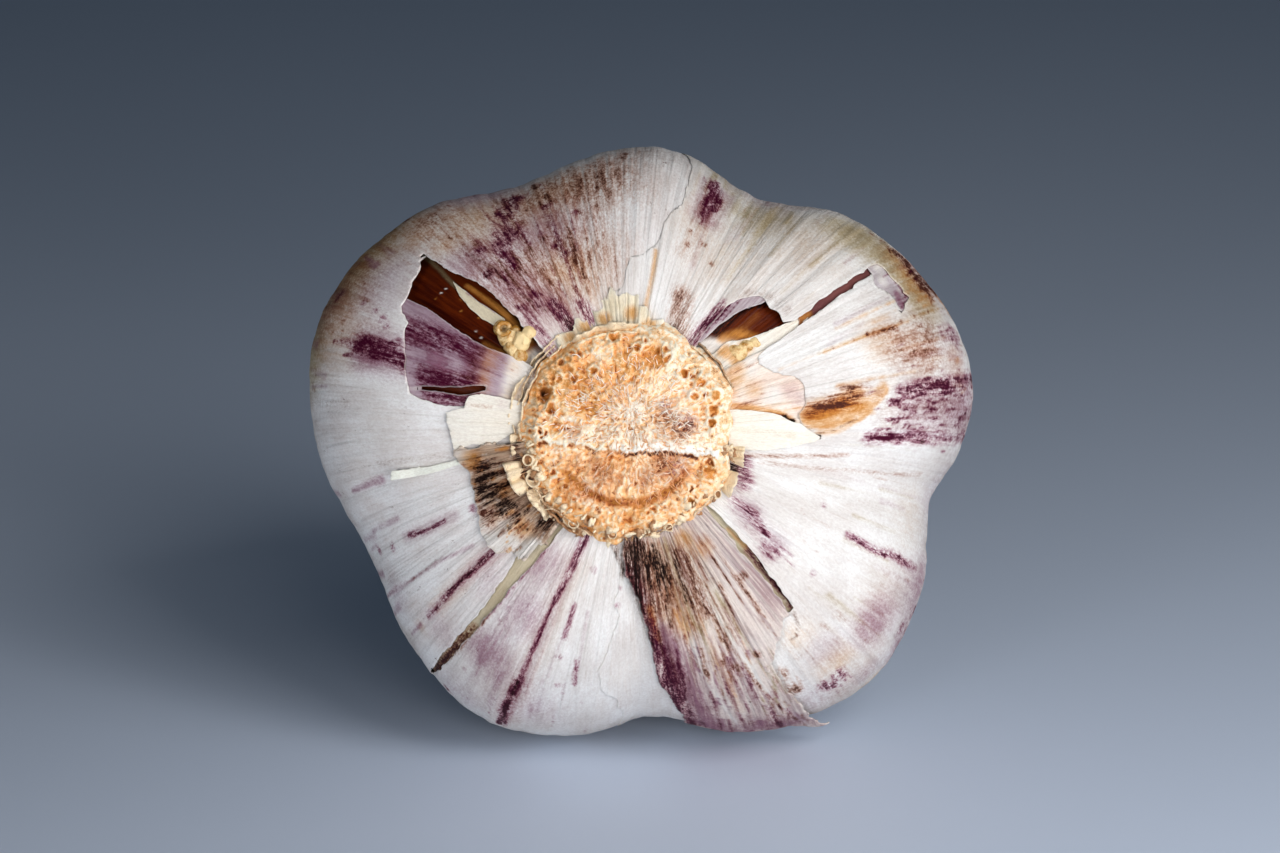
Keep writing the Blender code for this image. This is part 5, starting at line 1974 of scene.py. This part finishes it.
@dataclass(frozen=True)
class LumpFinish:
    """Translucent golden tissue at the foot of a leaf."""

    name: str = "golden_tissue"
    gold: Colour = (0.98, 0.74, 0.38)
    brown: Colour = (0.50, 0.22, 0.03)

    def material(self) -> bpy.types.Material:
        """Lays the finish's nodes."""
        shader = Shader(self.name)
        mottle = shader.noise(shader.object_place(), 1.8, 4.0, 0.65)
        share = shader.number("tone") * 0.8 + (mottle - 0.5) * 2.4
        colour = shader.mix(share.step(0.1, 0.9), self.gold, self.brown)
        normal = shader.bump(mottle, 0.2)
        return shader.finish(Base_Color=colour, Roughness=0.25, Normal=normal, Transmission_Weight=0.12)


@dataclass(frozen=True)
class PlateEdge:
    """What stands round the plate's edge: leaf bases, root stubs, crumbs and golden lumps.

    Attributes:
        bands: The leaf bases close to its wall.
        collar: The torn ones that lean out over the skins.
        stubs: The cut roots, as (x, y, radius).
        lumps: The golden lumps, as (x, y, distance behind the face, radius, tone).
        curl: A curled scrap among them, given in the same way.
        crumbs: How many crumbs lie along its lower edge.
        seed: Picks what is scattered.
    """

    bands: tuple[Band, ...] = (
        Band(112, 204, 9.2, 1.0, 0.1, 0.15, 0.5), Band(118, 192, 9.7, 1.45, 0.1, 0.4, 0.5),
        Band(124, 180, 10.15, 1.75, 0.1, 0.2, 0.5),
        Band(16, 62, 9.3, 1.1, 0.1, 0.3, 0.4), Band(22, 52, 9.9, 1.5, 0.1, 0.6, 0.4),
        Band(186, 262, 9.0, 0.9, 0.3, 0.6, 0.6), Band(196, 250, 9.4, 1.3, 0.4, 0.95, 0.5),
        Band(262, 330, 9.0, 1.1, 0.2, 0.4, 0.5),
    )
    collar: tuple[Band, ...] = (
        Band(70, 133, 8.5, 0.5, 0.9, 0.05, 0.8), Band(78, 124, 8.1, 0.1, 0.6, 0.1, 0.7),
        Band(-33, -20, 9.0, 0.9, 1.4, 0.05, 0.5), Band(194, 211, 9.0, 0.3, 2.0, 0.15, 1.5),
        Band(181, 192, 8.8, 0.7, 1.3, 0.15, 0.9), Band(210, 228, 8.7, 0.7, 1.6, 0.25, 0.9),
        Band(226, 243, 8.8, 0.9, 1.0, 0.4, 0.8), Band(-17, -7, 8.8, 0.7, 1.6, 0.05, 0.8),
    )
    stubs: tuple[tuple[float, float, float], ...] = (
        (-8.3, -2.4, 0.50), (-8.0, -4.1, 0.62), (-6.9, -6.1, 0.66), (-4.6, -7.9, 0.50), (-1.3, -8.8, 0.40),
        (3.6, -8.2, 0.40), (-9.3, -3.4, 0.45), (7.6, -5.2, 0.36),
    )
    lumps: tuple[tuple[float, float, float, float, float], ...] = (
        (-9.1, 8, 2.4, 0.75, 0), (-8.5, 8.7, 2.2, 0.55, 0), (-9.9, 7.3, 2.7, 0.7, 0.5),
        (-10.3, 8.4, 2.9, 0.75, 0.5), (-9.3, 6.7, 2.4, 0.5, 0.7), (-11, 9.2, 3.3, 0.6, 0.8),
        (-9.7, 8.9, 2.9, 0.5, 0.9), (9.7, 6.9, 2.6, 0.6, 0.35), (10.4, 7.4, 2.7, 0.62, 0.5),
        (11.1, 7.8, 2.8, 0.5, 0.4), (10.2, 6.8, 2.6, 0.45, 0.6), (9.3, 7.2, 2.7, 0.45, 0.7),
    )
    curl: tuple[float, float, float, float, float] = (-10.7, 9.0, 2.3, 0.6, 0.9)
    crumbs: int = 150
    seed: int = 12

    def build(self) -> None:
        """Builds each of them."""
        self.cups("leaf_base_bands", self.bands, 100)
        self.cups("torn_collar", self.collar, 200)
        self.root_stubs()
        self.torn_crumbs()
        self.golden_lumps()

    def torn_crumbs(self) -> None:
        """The ragged crumbs of dry tissue along the lower edge of the plate, as one piece."""
        chance = np.random.default_rng(self.seed + 7)
        pile = Pile()
        for _ in range(self.crumbs):
            turn = math.radians(chance.choice((chance.uniform(176, 250), chance.uniform(250, 352))))
            out = chance.uniform(8.3, 9.7)
            size = chance.uniform(0.16, 0.46)
            middle = np.array((out * math.cos(turn), out * math.sin(turn), -0.3 - max(0.0, out - 8.3) * 1.4))
            bmesh.ops.create_icosphere(pile.shape, subdivisions=2, radius=1.0)
            points = pile.places()
            swell = 1 + 0.9 * noise(points * 1.1 + middle * 3.0, 83, 2)
            squash = np.array((1.0, chance.uniform(0.35, 0.9), chance.uniform(0.5, 1.2)))
            spin = np.array(Matrix.Rotation(turn + chance.normal(0.0, 0.8), 3, "Z"))
            placed = middle + (points * swell[:, None] * squash * size) @ spin.T
            pile.move(placed, chance.choice((-0.2, 0.1, 0.4, 0.9)))
        pile.finish("torn_crumbs", BandFinish().material())

    def cups(self, name: str, bands: tuple[Band, ...], seed: int) -> None:
        """Joins leaf bases into one piece.

        Args:
            name: The piece's name.
            bands: The leaf bases.
            seed: Picks their tears.
        """
        pile = Pile()
        for index, band in enumerate(bands):
            columns = max(24, int((band.end - band.start) * 1.2))
            bmesh.ops.create_grid(pile.shape, x_segments=columns, y_segments=band.ROWS, size=0.5)
            across, along, _ = (pile.places() + 0.5).T
            pile.move(band.place(across, along, seed + 10 * index), band.tone)
        add_wall(pile.finish(name, BandFinish().material(), closed=False), 0.13, 0.0)

    def root_stubs(self) -> None:
        """The cut ends of roots, each a short tube with a hollow in its end."""
        chance = np.random.default_rng(self.seed)
        pile = Pile()
        shape = pile.shape
        for x, y, radius in self.stubs:
            height = chance.uniform(1.2, 1.9)
            made = bmesh.ops.create_cone(
                shape, cap_ends=True, segments=14, radius1=radius * 1.15, radius2=radius, depth=height
            )["verts"]
            faces = {face for vertex in made for face in vertex.link_faces}
            cap = [face for face in faces if all(vertex.co.z > 0 for vertex in face.verts)]
            for thickness in (radius * 0.24, radius * 0.10):
                bmesh.ops.inset_region(shape, faces=cap, thickness=thickness, depth=0.0)
            bmesh.ops.translate(shape, verts=cap[0].verts, vec=(0, 0, -radius * 1.3))
            lean = Matrix.Rotation(chance.uniform(0.1, 0.5), 4, Vector((-y, x, 0.0)).normalized())
            place = Matrix.Translation((x, y, -0.8 - max(0.0, math.hypot(x, y) - 8.5) * 1.2)) @ lean
            points = pile.places()
            hollow = (np.hypot(points[:, 0], points[:, 1]) < radius * 0.7) & (points[:, 2] > 0.0)
            rim = (points[:, 2] > 0.0) & ~hollow
            points *= (1 + 0.35 * noise(points * 1.7 + (x, y, 0), 5, 2))[:, None]
            tones = np.where(hollow, 2.0, np.where(rim, 0.1, chance.uniform(0.5, 1.1)))
            pile.move([place @ Vector(point) for point in points], tones)
        stubs = pile.finish("root_stubs", BandFinish().material())
        round_off = stubs.modifiers.new("round", "SUBSURF")
        round_off.levels = round_off.render_levels = 1

    def golden_lumps(self) -> None:
        """The golden lumps at the foot of the torn leaves."""
        pile = Pile()
        for x, y, back, radius, tone in self.lumps:
            middle = np.array((x, y, -back))
            place = Matrix.Translation(middle) @ Matrix.Diagonal((1.2, 1.2, 0.8, 1.0))
            bmesh.ops.create_icosphere(pile.shape, subdivisions=4, radius=radius, matrix=place)
            points = pile.places()
            swell = 1 + 0.24 * noise(points * 1.3, 71, 2) + 0.05 * noise(points * 3.4, 75)
            pile.move(middle + (points - middle) * swell[:, None], tone)
        x, y, back, radius, tone = self.curl
        turn = np.linspace(0.3, 5.9, 16)
        wave = 1 + 0.2 * noise(ring(turn, 1, turn * 0 + x), 79)
        line = ring(turn, 1, 0.12 * turn - back)
        line[:, 0] = x + radius * wave * np.cos(turn)
        line[:, 1] = y + radius * 0.8 * wave * np.sin(turn)
        pile.tube(line, np.full(16, radius * 0.36), 8, tone)
        pile.finish("golden_lumps", LumpFinish().material())


@dataclass(frozen=True)
class StalkFinish:
    """Dry stalk: straw outside, with fibres along it, and paler and spongy where it is cut."""

    name: str = "straw_stalk"
    straw: Colour = (0.62, 0.47, 0.30)
    brown: Colour = (0.24, 0.14, 0.08)
    pith: Colour = (0.84, 0.75, 0.60)

    def material(self) -> bpy.types.Material:
        """Lays the finish's nodes."""
        shader = Shader(self.name)
        place = shader.object_place()
        streak = shader.noise(shader.scaled(place, (2.2, 0.14, 2.2)), 1.0, 4.0, 0.65)
        pores = shader.cells(place, 2.4)
        colour = shader.mix(streak.step(0.35, 0.65), self.straw, self.brown)
        colour = shader.mix(shader.number("tone") * (pores * 1.6).capped(), colour, self.pith)
        normal = shader.bump(pores, 0.2, shader.bump(streak, 0.3))
        return shader.finish(Base_Color=colour, Roughness=0.7, Normal=normal, Specular_IOR_Level=0.25)


@dataclass(frozen=True)
class FleshFinish:
    """Moist pale clove flesh."""

    name: str = "pale_flesh"
    cream: Colour = (0.86, 0.78, 0.58)
    white: Colour = (0.92, 0.89, 0.80)

    def material(self) -> bpy.types.Material:
        """Lays the finish's nodes."""
        shader = Shader(self.name)
        cloud = shader.noise(shader.object_place(), 0.25, 4.0)
        colour = shader.mix(cloud.step(0.35, 0.65), self.cream, self.white)
        return shader.finish(Base_Color=colour, Roughness=0.42, Specular_IOR_Level=0.4)


@dataclass(frozen=True)
class Stalk:
    """The dried stalk in the middle of the neck, and the cloves' flesh inside the bulb.

    Attributes:
        radius: The stalk's radius.
        start: The station where its visible part starts.
        end: The station of its cut end.
        rings: How many faces it has along its length.
        sides: How many it has around.
    """

    radius: float = 2.6
    start: float = 4.0
    end: float = 69.3
    rings: int = 60
    sides: int = 48

    FLESH = ("clove_top", "clove_right", "clove_left", "clove_lower_left", "clove_lower_right")

    def build(self) -> None:
        """The stalk, ribbed along its length, with a ragged hollow cut end."""
        pile = Pile()
        shape = pile.shape
        bmesh.ops.create_cone(
            shape, cap_ends=True, cap_tris=False, segments=self.sides, radius1=1.0, radius2=1.0, depth=1.0
        )
        cut = [face for face in shape.faces if face.calc_center_median().z < -0.4]
        for thickness in (0.16, 0.16, 0.16, 0.16, 0.14):
            bmesh.ops.inset_region(shape, faces=cut, thickness=thickness, depth=0.0)
        bmesh.ops.subdivide_edges(shape, edges=long_edges(shape), cuts=self.rings)
        x, y, z = pile.places().T
        across = np.hypot(x, y)
        on_cut = z < -0.49
        rib = self.radius * (1 + 0.10 * noise(ring(np.arctan2(y, x), 4, z), 431, 3))
        ragged = noise(np.stack([x * 3.2, y * 3.2, across], axis=1), 437, 3)
        end = on_cut * (0.5 * ragged - 1.1 * (1 - smoothstep(across, 0.15, 0.85)))
        station = self.start + (self.end - self.start) * (0.5 - z) + end
        pile.move(np.stack([x * rib, y * rib - FORM.leaned(station), -station], axis=1), on_cut * 1.0)
        pile.finish("dry_stalk", StalkFinish().material(), "scape", slot="dry_stalk")

    def dress_flesh(self) -> None:
        """Gives the cloves inside the bulb their flesh."""
        flesh = FleshFinish().material()
        for name in self.FLESH:
            clove = bpy.data.objects[name]
            for slot in clove.material_slots:
                slot.material = flesh
            log.info("%s: dressed", name)


@dataclass(frozen=True)
class FibreFinish:
    """Fine dry fibres, from cream to orange brown."""

    name: str = "broken_fibre"
    pale: Colour = (1.0, 0.94, 0.84)
    dark: Colour = (0.78, 0.40, 0.18)

    def material(self) -> bpy.types.Material:
        """Lays the finish's nodes."""
        shader = Shader(self.name)
        mottle = shader.noise(shader.object_place(), 1.5)
        share = shader.number("tone").step(0.35, 1.0) + (mottle - 0.5) * 0.9
        colour = shader.mix(share, self.pale, self.dark)
        return shader.finish(Base_Color=colour, Roughness=0.65, Specular_IOR_Level=0.3)


@dataclass(frozen=True)
class Lamp:
    """A square soft light that faces the bulb's middle."""

    name: str
    place: tuple[float, float, float]
    size: float
    power: float
    colour: Colour = (1.0, 0.98, 0.96)
    aim: tuple[float, float, float] = (0.0, 0.0, 0.025)

    def build(self) -> None:
        """Hangs the light."""
        lamp = bpy.data.lights.new(self.name, "AREA")
        lamp.size = self.size
        lamp.energy = self.power
        lamp.color = self.colour
        light = linked(self.name, lamp)
        light.location = self.place
        light.rotation_euler = (Vector(self.aim) - Vector(self.place)).to_track_quat("-Z", "Y").to_euler()


@dataclass(frozen=True)
class Studio:
    """A plain pale table under a few soft lights."""

    tilt: float = 16.7
    distance: float = 399.0
    lens: float = 130.0
    shift: Place = (0.0102, 0.0035)
    floor_size: float = 8.0
    floor_colour: Colour = (0.58, 0.66, 0.80)
    sky: Colour = (0.40, 0.68, 1.0)
    sky_strength: float = 0.045
    lamps: tuple[Lamp, ...] = (
        Lamp("key", (0.13, -0.20, 0.20), 0.13, 0.285),
        Lamp("front", (0.08, -0.27, 0.06), 0.10, 0.255),
        Lamp("right", (0.45, -0.05, 0.30), 0.30, 0.20),
        Lamp("left", (-0.18, -0.34, 0.045), 0.085, 0.40, (0.97, 0.98, 1.0)),
        Lamp("table", (0.15, -0.14, 0.09), 0.08, 0.115, (0.97, 0.98, 1.0), (0.03, -0.08, 0.0)),
    )

    def build(self) -> None:
        """Sets up the floor, the lights, the world and the camera."""
        self.floor()
        for lamp in self.lamps:
            lamp.build()
        world = bpy.data.worlds.new("studio")
        world.use_nodes = True
        background = world.node_tree.nodes["Background"]
        background.inputs["Color"].default_value = (*self.sky, 1.0)
        background.inputs["Strength"].default_value = self.sky_strength
        bpy.context.scene.world = world
        self.camera()

    def floor(self) -> None:
        """The table."""
        shape = bmesh.new()
        bmesh.ops.create_grid(shape, x_segments=1, y_segments=1, size=self.floor_size / 2)
        mesh = mesh_of(shape, "floor")
        mesh.materials.append(Shader("floor").finish(Base_Color=self.floor_colour, Roughness=0.6))
        linked("floor", mesh)

    def camera(self) -> None:
        """Looks slightly down at the root plate."""
        lens = bpy.data.cameras.new("camera")
        lens.lens = self.lens
        lens.shift_x, lens.shift_y = self.shift
        lens.clip_start = 0.01
        camera = linked("camera", lens)
        plate = FORM.to_frame() @ Vector((0.0, 0.0, 0.0))
        turn = math.radians(self.tilt)
        camera.location = plate - Vector((0.0, math.cos(turn), -math.sin(turn))) * self.distance * MM
        camera.rotation_euler = (math.radians(90.0) - turn, 0.0, 0.0)
        bpy.context.scene.camera = camera


def main() -> None:
    """Builds the bulb's looks and the studio around it."""
    logging.basicConfig(level=logging.INFO, format="%(message)s")
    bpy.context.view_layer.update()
    for sheet in SHEETS:
        sheet.build()
    plate = RootPlate()
    plate.face()
    plate.broken_fibres()
    PlateEdge().build()
    stalk = Stalk()
    stalk.build()
    stalk.dress_flesh()
    Studio().build()
    bpy.context.scene.view_settings.view_transform = "Standard"


if __name__ == "__main__":
    main()
